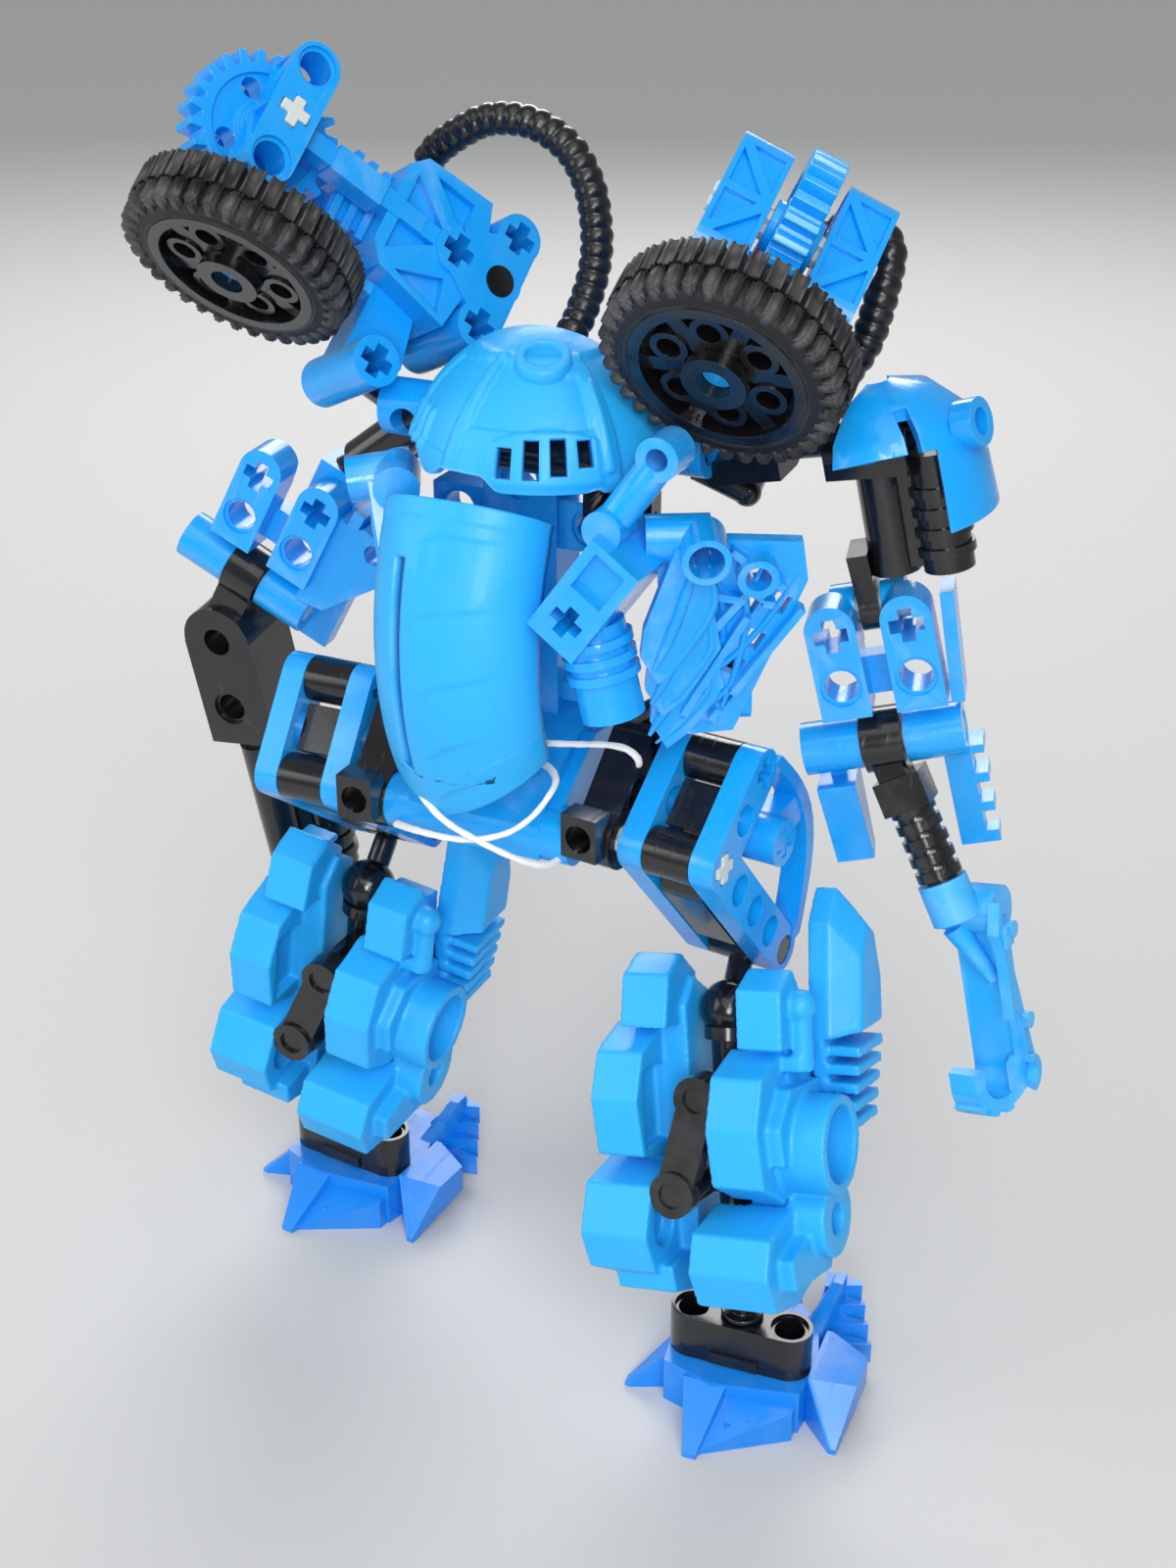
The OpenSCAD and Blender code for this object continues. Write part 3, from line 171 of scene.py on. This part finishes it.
# one material for each slot of the record
MATERIALS = {
    "blue_gloss": plastic("azure_gloss", (0.003, 0.36, 0.90), 0.24, coat=0.3, spec=0.4),
    "blue_satin": plastic("azure_satin", (0.018, 0.42, 0.90), 0.42, coat=0.08, grain=0.3, spec=0.4),
    "foot_blue": plastic("deep_azure", (0.003, 0.23, 0.78), 0.32, coat=0.2, spec=0.4),
    "black_gloss": plastic("black_gloss", (0.004, 0.004, 0.005), 0.2, coat=0.35, edge_wear_and_highlight=0.05),
    "hose_black": plastic("hose_black", (0.005, 0.005, 0.006), 0.3, coat=0.15, edge_wear_and_highlight=0.06),
    # the tyre's paler lug edges are partly dust and partly a painted highlight
    "tyre_rubber": plastic("tyre_rubber", (0.006, 0.006, 0.007), 0.5, grain=0.6, edge_wear_and_highlight=0.22,
                           sheen=0.02, spec=0.4),
    "axle_grey": plastic("pale_axle", (0.66, 0.70, 0.68), 0.4, grain=0.25, edge_wear_and_highlight=0.2),
    "band_white": plastic("band_white", (0.80, 0.81, 0.80), 0.75, grain=1.0, edge_wear_and_highlight=0.1, sheen=0.3),
}


# ------------------------------------------------------------ carried-over CAD nodes
EDGE_ROUND = 0.22 * MM
ARMOUR_VOXEL = 0.32 * MM


def dress(obj, material):
    """Material and surface: soft lobes on the shin armour, small rounds on the edges of the rest."""
    obj.data.materials.clear()
    obj.data.materials.append(material)
    for poly in obj.data.polygons:
        poly.use_smooth = True
    if obj.name.endswith(("_shell", "calf_fins")) and obj.name in nodes:
        fine = obj.modifiers.new("fine", "REMESH")
        fine.mode = "VOXEL"
        fine.voxel_size = ARMOUR_VOXEL
        fine.use_smooth_shade = True
        soft = obj.modifiers.new("soft", "SMOOTH")
        soft.factor = 0.5
        soft.iterations = 9
        return
    weld = obj.modifiers.new("weld", "WELD")
    weld.merge_threshold = 0.01 * MM
    flat = obj.modifiers.new("flat", "DECIMATE")
    flat.decimate_type = "DISSOLVE"
    flat.angle_limit = math.radians(1.5)
    bevel = obj.modifiers.new("bevel", "BEVEL")
    bevel.width = EDGE_ROUND
    bevel.segments = 2
    bevel.limit_method = "ANGLE"
    bevel.angle_limit = math.radians(32)
    bevel.use_clamp_overlap = True
    bevel.harden_normals = True
    bevel.miter_outer = "MITER_ARC"
    normals = obj.modifiers.new("normals", "WEIGHTED_NORMAL")
    normals.keep_sharp = True


for name, obj in nodes.items():
    dress(obj, MATERIALS[SLOT_OF[name]])


# ------------------------------------------------------------ helpers for new pieces
def to_mesh(bm, name):
    """New mesh from the bmesh, which is freed."""
    mesh = bpy.data.meshes.new(name)
    bm.to_mesh(mesh)
    bm.free()
    return mesh


def add_piece(name, mesh, node, rides=True):
    """Piece with a CAD node's place and material, and its body unless rides is false."""
    obj = bpy.data.objects.new(name, mesh)
    scene_objects.link(obj)
    slot = SLOT_OF[node]
    obj.data.materials.append(MATERIALS[slot])
    for poly in obj.data.polygons:
        poly.use_smooth = True
    if rides:
        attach(obj, nodes[node]["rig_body"])
    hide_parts(node)
    return obj


def length_of(path):
    return sum((b - a).length for a, b in zip(path, path[1:]))


def smooth_path(points, step):
    """Catmull-Rom line through the points, sampled about every step."""
    p = [Vector(points[0]) * 2 - Vector(points[1])] + [Vector(q) for q in points]
    p.append(p[-1] * 2 - p[-2])
    out = []
    for i in range(1, len(p) - 2):
        count = max(2, int((p[i + 1] - p[i]).length / step))
        a, b, c, d = p[i - 1 : i + 3]
        for t in (k / count for k in range(count)):
            square = 2 * a - 5 * b + 4 * c - d
            cube = 3 * b - a - 3 * c + d
            out.append(0.5 * (2 * b + (c - a) * t + square * t * t + cube * t**3))
    out.append(p[-2])
    return out


def sweep(path, radius, sides, flat=1.0):
    """Tube mesh along a path; radius is a function of the distance along it."""
    bm = bmesh.new()
    rings, along = [], 0.0
    normal = (path[1] - path[0]).orthogonal().normalized()
    for i, p in enumerate(path):
        tangent = (path[min(i + 1, len(path) - 1)] - path[max(i - 1, 0)]).normalized()
        normal = (normal - normal.dot(tangent) * tangent).normalized()
        across = tangent.cross(normal)
        if i:
            along += (p - path[i - 1]).length
        r = radius(along)
        rings.append([bm.verts.new(p + r * (math.cos(a) * normal + flat * math.sin(a) * across))
                      for a in (2 * math.pi * k / sides for k in range(sides))])
    for a, b in zip(rings, rings[1:]):
        for k in range(sides):
            bm.faces.new((a[k], a[(k + 1) % sides], b[(k + 1) % sides], b[k]))
    for ring in (rings[0], rings[-1]):
        bm.faces.new(ring)
    bmesh.ops.recalc_face_normals(bm, faces=bm.faces)
    return to_mesh(bm, "sweep")


def lathe(bm, profile, place, steps):
    """Closed profile of (radius, height) in mm turned about Z."""
    rings = []
    for a in (2 * math.pi * k / steps for k in range(steps)):
        ring = [Vector((r * MM * math.cos(a), r * MM * math.sin(a), z * MM)) for r, z in profile]
        rings.append([bm.verts.new(place @ p) for p in ring])
    faces = []
    for k in range(steps):
        a, b = rings[k], rings[(k + 1) % steps]
        for i in range(len(profile)):
            j = (i + 1) % len(profile)
            faces.append(bm.faces.new((a[i], b[i], b[j], a[j])))
    bmesh.ops.recalc_face_normals(bm, faces=faces)


def prism(bm, outline, low, high, place):
    """Closed prism: outline of (y, z) points between two x values, in mm."""
    ends = [[bm.verts.new(place @ (Vector((x, y, z)) * MM)) for y, z in outline] for x in (low, high)]
    faces = [bm.faces.new(end) for end in ends]
    for k in range(len(outline)):
        j = (k + 1) % len(outline)
        faces.append(bm.faces.new((ends[0][k], ends[0][j], ends[1][j], ends[1][k])))
    bmesh.ops.recalc_face_normals(bm, faces=faces)


def reshape(name, node, tool, operation):
    """Piece made of a CAD node's mesh with the tool's volume added or taken out."""
    bm = bmesh.new()
    bm.from_mesh(nodes[node].data)
    bm.transform(nodes[node].matrix_world)
    bmesh.ops.remove_doubles(bm, verts=bm.verts, dist=0.01 * MM)
    source = bpy.data.objects.new("source", to_mesh(bm, "source"))
    block = bpy.data.objects.new("block", to_mesh(tool, "block"))
    for obj in (source, block):
        scene_objects.link(obj)
    step = source.modifiers.new(operation, "BOOLEAN")
    step.operation = operation
    step.solver = "EXACT"
    step.object = block
    step.use_self = operation == "UNION"
    made = source.evaluated_get(bpy.context.evaluated_depsgraph_get())
    mesh = bpy.data.meshes.new_from_object(made)
    mesh.materials.clear()
    for obj in (source, block):
        bpy.data.objects.remove(obj)
    dress(add_piece(name, mesh, node), MATERIALS[SLOT_OF[node]])


# ------------------------------------------------------------ guns' end beams
def end_beams(side):
    """Triangular pockets between the round ends of the beams either side of the gear."""
    gear = joints[side + "_gear_turn"]
    y = Vector(gear["axis"]).normalized()
    z = -Vector(joints[side + "_wheel_turn"]["axis"]).normalized()
    turn = Matrix((y.cross(z), y, z)).transposed().to_4x4()
    place = Matrix.Translation(Vector(gear["pos_m"])) @ turn
    pitch, face, depth, half = 8, 3.7, 0.9, 2.95
    pockets = ([(-half, 0.7), (1.9, 0.7), (-half, 6.9)], [(half, 1.9), (half, 8.1), (-1.9, 8.1)])
    bm = bmesh.new()
    for beam in (-pitch, pitch):
        for end in (-1, 1):
            for way in (-1, 1):
                near, far = sorted((way * (face - depth), way * (face + 0.6)))
                for pocket in pockets:
                    prism(bm, [(beam + a, end * b) for a, b in pocket], near, far, place)
    reshape(side + "_truss_beams", side + "_gun_end_beams", bm, "DIFFERENCE")


end_beams("left")
end_beams("right")


# ------------------------------------------------------------ hoses
HOSE_RADIUS = 2.5 * MM
RIB_PITCH = 2.1 * MM


def hose(node, fractions):
    """Ribbed hose through points given as shares of its CAD node's box; it rides no body."""
    low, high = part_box(node)
    points = [Vector(low[i] + f[i] * (high[i] - low[i]) for i in range(3)) for f in fractions]
    path = smooth_path(points, 0.12 * RIB_PITCH)

    def ribbed(d):
        return HOSE_RADIUS * (0.84 + 0.16 * abs(math.sin(math.pi * d / RIB_PITCH)) ** 0.7)

    obj = add_piece(node + "_ribbed", sweep(path, ribbed, 22), node, rides=False)
    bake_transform(obj)


hose("right_hose", [
    (0.053, 0.879, 0.738), (0.112, 0.879, 0.801), (0.237, 0.863, 0.873), (0.36, 0.863, 0.925),
    (0.479, 0.863, 0.94), (0.598, 0.863, 0.93), (0.702, 0.863, 0.891), (0.789, 0.863, 0.832),
    (0.852, 0.852, 0.754), (0.893, 0.831, 0.671), (0.917, 0.8, 0.583), (0.932, 0.757, 0.489),
    (0.929, 0.678, 0.381), (0.914, 0.52, 0.261), (0.896, 0.314, 0.168), (0.872, 0.093, 0.038)])
hose("left_hose", [
    (0.107, 0.827, 0.708), (0.233, 0.864, 0.817), (0.456, 0.88, 0.905), (0.686, 0.817, 0.919),
    (0.857, 0.701, 0.832), (0.869, 0.606, 0.687), (0.835, 0.554, 0.534), (0.777, 0.491, 0.381),
    (0.663, 0.354, 0.243), (0.491, 0.207, 0.142), (0.262, 0.112, 0.076)])


# ------------------------------------------------------------ tyres
TYRE_OUTER = 17
TYRE_INNER = 12.6
TYRE_HALF = 4
LUGS = 36
# a lug is two blocks: start and end along the axle, inner and outer radius, width
LUG_BLOCKS = ((0.15, 3.7, TYRE_OUTER - 2.2, TYRE_OUTER, 2.05),
              (2.2, 3.95, TYRE_OUTER - 3.1, TYRE_OUTER - 0.55, 1.9))
# width at a lug's top as a share of its foot
LUG_TAPER = 0.78


def tyre(side):
    """Round carcass with two staggered rows of chunky lugs that wrap over its shoulders."""
    profile = [(TYRE_INNER, -TYRE_HALF), (TYRE_INNER + 0.5, -TYRE_HALF), (TYRE_INNER + 0.9, -TYRE_HALF + 0.3),
               (TYRE_INNER + 1.9, -TYRE_HALF + 0.1), (TYRE_OUTER - 2.0, -TYRE_HALF + 0.5),
               (TYRE_OUTER - 1.5, -TYRE_HALF + 1.5), (TYRE_OUTER - 1.4, 0)]
    profile += [(r, -z) for r, z in reversed(profile[:-1])]
    bm = bmesh.new()
    lathe(bm, profile, Matrix(), 144)
    for row in (-1, 1):
        for k in range(LUGS):
            spin = Matrix.Rotation(2 * math.pi * (k + 0.25 * row) / LUGS, 3, "Z")
            for z0, z1, r0, r1, width in LUG_BLOCKS:
                corners = bmesh.ops.create_cube(bm, size=1)["verts"]
                for v in corners:
                    r, share = (r1, LUG_TAPER) if v.co.x > 0 else (r0, 1.0)
                    z = row * (z0 + (v.co.z + 0.5) * (z1 - z0))
                    v.co = Vector((r, v.co.y * width * share, z)) * MM
                edges = list(dict.fromkeys(e for v in corners for e in v.link_edges))
                rounded = bmesh.ops.bevel(bm, geom=edges, offset=0.36 * MM, segments=2, affect="EDGES")
                for v in {*rounded["verts"], *(c for c in corners if c.is_valid)}:
                    v.co = spin @ v.co
    bmesh.ops.recalc_face_normals(bm, faces=bm.faces)
    wheel = joints[side + "_wheel_turn"]
    turn = Vector(wheel["axis"]).normalized().to_track_quat("Z", "Y").to_matrix().to_4x4()
    bm.transform(Matrix.Translation(Vector(wheel["pos_m"])) @ turn)
    add_piece(side + "_tyre_tread", to_mesh(bm, "tyre"), side + "_gun_tyre")


tyre("left")
tyre("right")


# ------------------------------------------------------------ ribbed side panels
# lines of the lattice: (x, z) points in the panel's own mm, and the line's radius
LATTICE = [
    ([(-0.6, 13), (1.6, 4), (1.4, -5), (-1.6, -13)], 0.55),
    ([(3.4, 12), (5, 3), (4, -6), (1.4, -15)], 0.55),
    ([(8, 12.4), (4.4, 5), (0, -1), (-5, -5.4)], 0.5),
    ([(12, 9), (7.4, 1), (2.4, -5), (-4.4, -10.6)], 0.5),
    ([(9.4, 0), (5.6, -6), (1.4, -11), (-1.6, -14.6)], 0.5),
]
LATTICE_DEPTH = 0.2


def rib_panel(side, middle, turn_z, mirror):
    """Raised lattice lines, and a crest and a rim along each overlapping scale."""
    turn = Matrix.Rotation(math.radians(turn_z), 4, "Z") @ Matrix.Rotation(math.radians(8), 4, "X")
    place = Matrix.Translation(Vector(middle) * MM) @ turn @ Matrix.Diagonal((mirror, 1, 1, 1))
    lines = [(points, LATTICE_DEPTH, radius) for points, radius in LATTICE]
    for i in range(3):
        front = -3.2 + 1.2 * i
        crest = [(-2.9, 12.6 - 7.7 * i), (-4.6, 5.6 - 7.2 * i), (-6.6, -0.4 - 6.4 * i), (-8.2, -4.2 - 6.1 * i)]
        rim = [(-0.9, 12.4 - 7.8 * i), (-0.1, 5.8 - 7.4 * i), (-4.5, -2.6 - 6.4 * i), (-7.2, -5.6 - 6.2 * i)]
        lines += [(crest, front, 0.85), (rim, front + 0.3, 0.6)]
    bm = bmesh.new()
    for points, depth, radius in lines:
        path = smooth_path([place @ (Vector((x, depth, z)) * MM) for x, z in points], 0.9 * MM)
        total = length_of(path)

        def tapered(d):
            return radius * MM * (0.35 + 0.65 * min(1, 4 * d / total, 4 * (1 - d / total)))

        bm.from_mesh(sweep(path, tapered, 14))
    reshape(side + "_ribbed_panel", side + "_rib_panel", bm, "UNION")


rib_panel("left", (26.85, -11.01, 129), 28, 1)
rib_panel("right", (-23.15, -7.91, 130.6), -62, -1)


# ------------------------------------------------------------ curved sheets
def ease(x, a, b):
    """0 at a, 1 at b, smooth between."""
    t = min(1.0, max(0.0, (x - a) / (b - a)))
    return t * t * (3 - 2 * t)


def between(x, a, b, soft):
    """1 from a to b, 0 outside, with soft ends."""
    return ease(x, a - soft / 2, a + soft / 2) * (1 - ease(x, b - soft / 2, b + soft / 2))


def shell(bm, grid, inner, skip):
    """Sheet between an outer and an inner grid of points, without the cells where skip(i, j) is true."""
    rows, cols = len(grid), len(grid[0])
    out = [[bm.verts.new(p) for p in row] for row in grid]
    back = [[bm.verts.new(p) for p in row] for row in inner]
    kept = {(i, j) for i in range(rows - 1) for j in range(cols - 1) if not skip(i, j)}
    for i, j in kept:
        bm.faces.new((out[i][j], out[i][j + 1], out[i + 1][j + 1], out[i + 1][j]))
        bm.faces.new((back[i][j], back[i + 1][j], back[i + 1][j + 1], back[i][j + 1]))
        sides = (((i - 1, j), (i, j), (i, j + 1)), ((i + 1, j), (i + 1, j), (i + 1, j + 1)),
                 ((i, j - 1), (i, j), (i + 1, j)), ((i, j + 1), (i, j + 1), (i + 1, j + 1)))
        for cell, (ai, aj), (bi, bj) in sides:
            if cell not in kept:
                bm.faces.new((out[ai][aj], out[bi][bj], back[bi][bj], back[ai][aj]))
    bmesh.ops.delete(bm, geom=[v for v in bm.verts if not v.link_faces], context="VERTS")
    bmesh.ops.recalc_face_normals(bm, faces=bm.faces)


def merged_lines(*groups):
    """Sorted grid lines from several lists, near repeats dropped."""
    out = []
    for v in sorted(v for g in groups for v in g):
        if not out or v - out[-1] > 1e-4:
            out.append(v)
    return out


# ------------------------------------------------------------ belly plate
def belly():
    """Half-tube plate with a slot, overlapping panels and a blunt point at its lower edge."""
    low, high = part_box("belly_plate")
    bend, depth, half_w, wall = 50 * MM, 10 * MM, 13 * MM, 1.6 * MM
    # the plate's arc and its slot's, in degrees about the bend's centre
    top, bottom = 151.0, 211.0
    slot_top, slot_bottom = 161.0, 201.0
    mid_x = (low.x + high.x) / 2
    mid_y = low.y + bend
    mid_z = high.z - bend * math.sin(math.radians(top))
    widths = [half_w * math.sin(math.radians(a)) for a in range(-90, 91, 3)]
    slot_w = (-6.6 * MM, -4.7 * MM)
    square_w = (-6.9 * MM, -4.3 * MM)
    clear = [w for w in widths if min(abs(w - s) for s in slot_w + square_w) > 0.25 * MM]
    ws = merged_lines(clear, slot_w, square_w)
    half_degrees = [top + 0.5 * k for k in range(int((bottom - top) / 0.5) + 1)]
    phis = merged_lines(half_degrees, [155.4, 157.8, slot_top, slot_bottom])
    # where each panel begins on the arc
    starts = [157.0, 169.5, 182.5, 194.5, 204.0]

    def relief(w, phi):
        """Height over the plain plate: each panel steps down under the one above and fades out."""
        w = w / MM
        left, drop = -1.8 + 0.02 * (phi - 157), 0.0
        across = w - left
        for i, start in enumerate(starts):
            end = starts[i + 1] if i < 4 else 213.0
            edge = start - (0.05 + 0.13 * i) * across + 0.9 * ease(across, 2.2, 0.0)
            after = starts[i + 1] - (0.05 + 0.13 * (i + 1)) * across if i < 4 else 214.0
            inside = ease(phi, edge - 0.25, edge + 0.25) * ease(w, left - 0.12, left + 0.12)
            inside *= 1 - ease(phi, after - 0.3, after + 0.3)
            fade = max(0.0, 1 - (phi - edge) / (end - start)) * 0.75 + 0.25
            drop = max(drop, inside * fade * (1 - ease(w, 4.0, 11.5)))
        return (0.3 * (1 - ease(phi, 153.6, 154.6)) - 0.42 * drop) * MM

    grid, inner = [], []
    for phi in phis:
        row, back = [], []
        for w in ws:
            a = math.asin(max(-1, min(1, w / half_w)))
            # the lower edge comes to a blunt point left of the middle
            over = max(0.0, (w / MM + 2.2) * 0.56 if w / MM > -2.2 else (-2.2 - w / MM) * 0.62)
            limit = bottom - over * 1.1
            f = top + (phi - top) * (limit - top) / (bottom - top) if phi > slot_bottom else phi
            f = min(f, limit)
            r = bend - depth * (1 - math.cos(a)) + relief(w, f)
            r = min(r, bend - 0.02 * MM)
            cos_f, sin_f = math.cos(math.radians(f)), math.sin(math.radians(f))
            row.append(Vector((mid_x + w, mid_y + r * cos_f, mid_z + r * sin_f)))
            r = bend - depth + (depth - wall) * math.cos(a)
            back.append(Vector((mid_x + w * (1 - wall / half_w), mid_y + r * cos_f, mid_z + r * sin_f)))
        grid.append(row)
        inner.append(back)

    def skip(i, j):
        w, p = (ws[j] + ws[j + 1]) / 2, (phis[i] + phis[i + 1]) / 2
        return slot_w[0] < w < slot_w[1] and slot_top < p < slot_bottom

    bm = bmesh.new()
    shell(bm, grid, inner, skip)
    add_piece("belly_plate_shell", to_mesh(bm, "belly"), "belly_plate")


belly()


# ------------------------------------------------------------ elastic band
def band():
    """Three stretched loops of one white band, lashed over and under the pelvis tube."""
    strands = [
        [(-20, -20.4, 93.0), (-14.4, -23.9, 94.7), (-8.3, -25.7, 95.7), (-3.3, -26.4, 96.8),
         (2.1, -26.6, 99.1), (5.7, -26.0, 102), (7.5, -24, 104.7), (7.2, -20.4, 105.9),
         (4.1, -16.4, 105.7), (-0.1, -12.8, 104.2)],
        [(-14.7, -22.9, 102.7), (-12.4, -25, 101.4), (-9.4, -26.2, 99.6), (-6.2, -26.8, 98.3),
         (-2.7, -26.9, 97.2), (1.1, -26.2, 95.6), (4.4, -24.2, 93.6), (6.4, -21.5, 92.4), (7.0, -18.0, 92.2)],
        [(-0.1, -14.9, 108.3), (4.1, -16.4, 109.6), (8.9, -16.4, 110.4), (13.1, -15.4, 110.7),
         (15.8, -14.4, 110.1), (17.2, -13.8, 108.7), (17.3, -13.4, 107.4)],
    ]
    bm = bmesh.new()
    for points in strands:
        path = smooth_path([Vector(p) * MM for p in points], 0.7 * MM)
        total = length_of(path)

        def stretched(d):
            """Radius: thinner in the middle of a strand, slightly uneven."""
            return (0.62 - 0.14 * math.sin(math.pi * d / total) + 0.03 * math.sin(d / MM * 2.1)) * MM

        bm.from_mesh(sweep(path, stretched, 12, 0.8))
    add_piece("elastic_band_loops", to_mesh(bm, "band"), "elastic_band")


band()


# ------------------------------------------------------------ vented helmet
def helmet():
    """Domed shell with windows and louvre slits, open behind, and a ring boss on its crown."""
    centre = Vector(joints["head_tilt"]["pos_m"]) + Vector((0, 6.6, -4.4)) * MM
    radius, wall = 20 * MM, 1.7 * MM
    # openings: from and to in degrees about the vertical, then from and to in height
    windows = [(4.5, 11.5, 10.5, 23.0), (16.0, 23.0, 10.5, 26.5),
               (27.5, 34.5, 12.0, 27.0), (39.0, 46.0, 15.0, 26.0)]
    slits = [(-62.0, -60.2, 22.0, 30.0), (-54.0, -52.2, 19.0, 28.0), (-46.0, -44.2, 16.0, 25.0)]
    cuts = windows + slits
    thetas = merged_lines([-92 + 1.25 * k for k in range(149)], [v for c in cuts for v in c[:2]])
    heights = merged_lines([4 + 1.25 * k for k in range(68)], [v for c in cuts for v in c[2:]], [90.0])

    def rim(t):
        """Height of the lower edge in degrees: it dips to a point at each side."""
        low = 5.8 + 5.0 * between(t, -26, 2, 9) + 9.0 * between(t, -74, -40, 14) - between(t, 4, 44, 6)
        return low - 5.5 * max(0.0, 1 - abs(t - 53) / 5.0) - 5.0 * max(0.0, 1 - abs(t + 80) / 8.0)

    def relief(t, e):
        """Height over the plain dome at turn t and height e, in degrees."""
        crest = -11 - 0.132 * (62 - e)
        out = 0.55 * between(t, crest - 3.2, crest + 3.2, 1.6) * between(e, 9, 64, 3)
        # sunk faces either side of the crest, under a brow line
        out -= 0.42 * between(t, crest + 4.4, 47, 1.0) * between(e, 29.5, 58 - 0.12 * (t - 5), 1.0)
        out -= 0.42 * between(t, -58, crest - 4.4, 1.0) * between(e, 14 - 0.1 * t, 60 + 0.10 * (t + 12), 1.0)
        # raised frame round the windows, rib, side plate, crown line and louvres
        arch = 30.5 - 0.010 * (t - 26) ** 2
        out += 0.30 * between(t, 2, 49, 1.0) * between(e, 8, arch, 1.0)
        out += 0.5 * between(t, 50.5, 54.5, 1.4) * between(e, 12, 50, 2.0)
        out -= 0.55 * ease(t, 57.6, 58.4) * (1 - ease(e, 62, 63.5))
        out += 0.35 * between(e, 60, 64, 1.2) * between(t, -60, 56, 2)
        for a in (-57.2, -49.2, -41.2):
            out += 0.45 * between(t, a - 1.8, a + 1.8, 1.2) * between(e, 13, 31, 2.5)
        return out * MM

    grid, inner = [], []
    for e in heights:
        row, back = [], []
        for t in thetas:
            h = max(e, rim(t)) if e < 14 else e
            r = radius + relief(t, h) - 0.4 * MM * (1 - ease(h, 4, 9))
            a, b = math.radians(t), math.radians(h)
            for line, size in ((row, r), (back, radius - wall)):
                p = size * Vector((math.sin(a) * math.cos(b), -math.cos(a) * math.cos(b), math.sin(b)))
                p.y = min(p.y, 5 * MM)
                if p.z < 11 * MM:
                    p.y = min(p.y, -0.6 * MM)
                line.append(centre + p)
        grid.append(row)
        inner.append(back)

    def skip(i, j):
        t, e = (thetas[j] + thetas[j + 1]) / 2, (heights[i] + heights[i + 1]) / 2
        corners = [grid[i][j], grid[i][j + 1], grid[i + 1][j + 1], grid[i + 1][j]]
        behind = all(p.y > centre.y + 4.999 * MM for p in corners)
        folded = (corners[1] - corners[3]).length * (corners[0] - corners[2]).length < 1e-9
        if behind or folded:
            return True
        return any(a < t < b and c < e < d for a, b, c, d in cuts)

    bm = bmesh.new()
    shell(bm, grid, inner, skip)
    # ring boss on the crown
    up = Vector((0.188, -0.423, 0.886)).normalized()
    turn = Matrix.Translation(centre) @ up.to_track_quat("Z", "Y").to_matrix().to_4x4()
    ring = [(2.45, 16), (2.45, 20.6), (2.7, 20.9), (3.5, 20.9), (3.8, 20.6), (4.1, 19.6), (4.1, 18), (3.0, 16)]
    lathe(bm, ring, turn, 56)
    add_piece("helmet_shell", to_mesh(bm, "helmet"), "head_dome")


helmet()


# ------------------------------------------------------------ world, floor, lights, camera
world = bpy.data.worlds.new("studio")
bpy.context.scene.world = world
world.use_nodes = True
world.node_tree.nodes["Background"].inputs["Color"].default_value = (0.86, 0.89, 0.93, 1)
world.node_tree.nodes["Background"].inputs["Strength"].default_value = 0.32
bpy.context.scene.view_settings.view_transform = "Standard"


def soft_light(name, place, target, size, power, colour=(1, 1, 1)):
    """Area light of that size in metres at place, turned to the target."""
    data = bpy.data.lights.new(name, "AREA")
    data.shape = "RECTANGLE"
    data.size, data.size_y = size
    data.energy = power
    data.color = colour
    obj = bpy.data.objects.new(name, data)
    scene_objects.link(obj)
    obj.location = place
    obj.rotation_euler = (Vector(target) - Vector(place)).to_track_quat("-Z", "Y").to_euler()


floor_mesh = bpy.data.meshes.new("floor")
floor_mesh.from_pydata([(-9, -9, 0), (9, -9, 0), (9, 9, 0), (-9, 9, 0)], [], [(0, 1, 2, 3)])
floor = bpy.data.objects.new("floor", floor_mesh)
scene_objects.link(floor)
floor_material = bpy.data.materials.new("pale_floor")
floor_material.use_nodes = True
floor_shader = floor_material.node_tree.nodes["Principled BSDF"]
floor_shader.inputs["Base Color"].default_value = (0.58, 0.575, 0.565, 1)
floor_shader.inputs["Roughness"].default_value = 0.7
floor.data.materials.append(floor_material)

sky = bpy.data.lights.new("sky", "SUN")
sky.energy = 0.9
sky.angle = math.radians(60)
sky_lamp = bpy.data.objects.new("sky", sky)
scene_objects.link(sky_lamp)
sky_lamp.rotation_euler = (math.radians(28), math.radians(12), 0)
soft_light("key", (0.55, -0.75, 0.75), (0, 0, 0.11), (0.5, 0.5), 4.2)
soft_light("fill", (-0.7, -0.5, 0.45), (0, 0, 0.1), (0.7, 0.5), 2.6, (0.95, 0.97, 1.0))
soft_light("rim", (-0.3, 0.7, 0.6), (0, 0, 0.13), (0.6, 0.4), 4.5)
soft_light("front", (0.22, -0.6, 0.3), (0, 0, 0.11), (0.16, 0.22), 1.5)

camera_data = bpy.data.cameras.new("camera")
camera_data.sensor_fit = "VERTICAL"
camera_data.sensor_height = 36
camera_data.lens = 49.5
camera = bpy.data.objects.new("camera", camera_data)
scene_objects.link(camera)
camera.location = (0.12985, -0.27241, 0.2445)
camera.rotation_euler = (math.radians(63.6), 0, math.radians(25))
bpy.context.scene.camera = camera
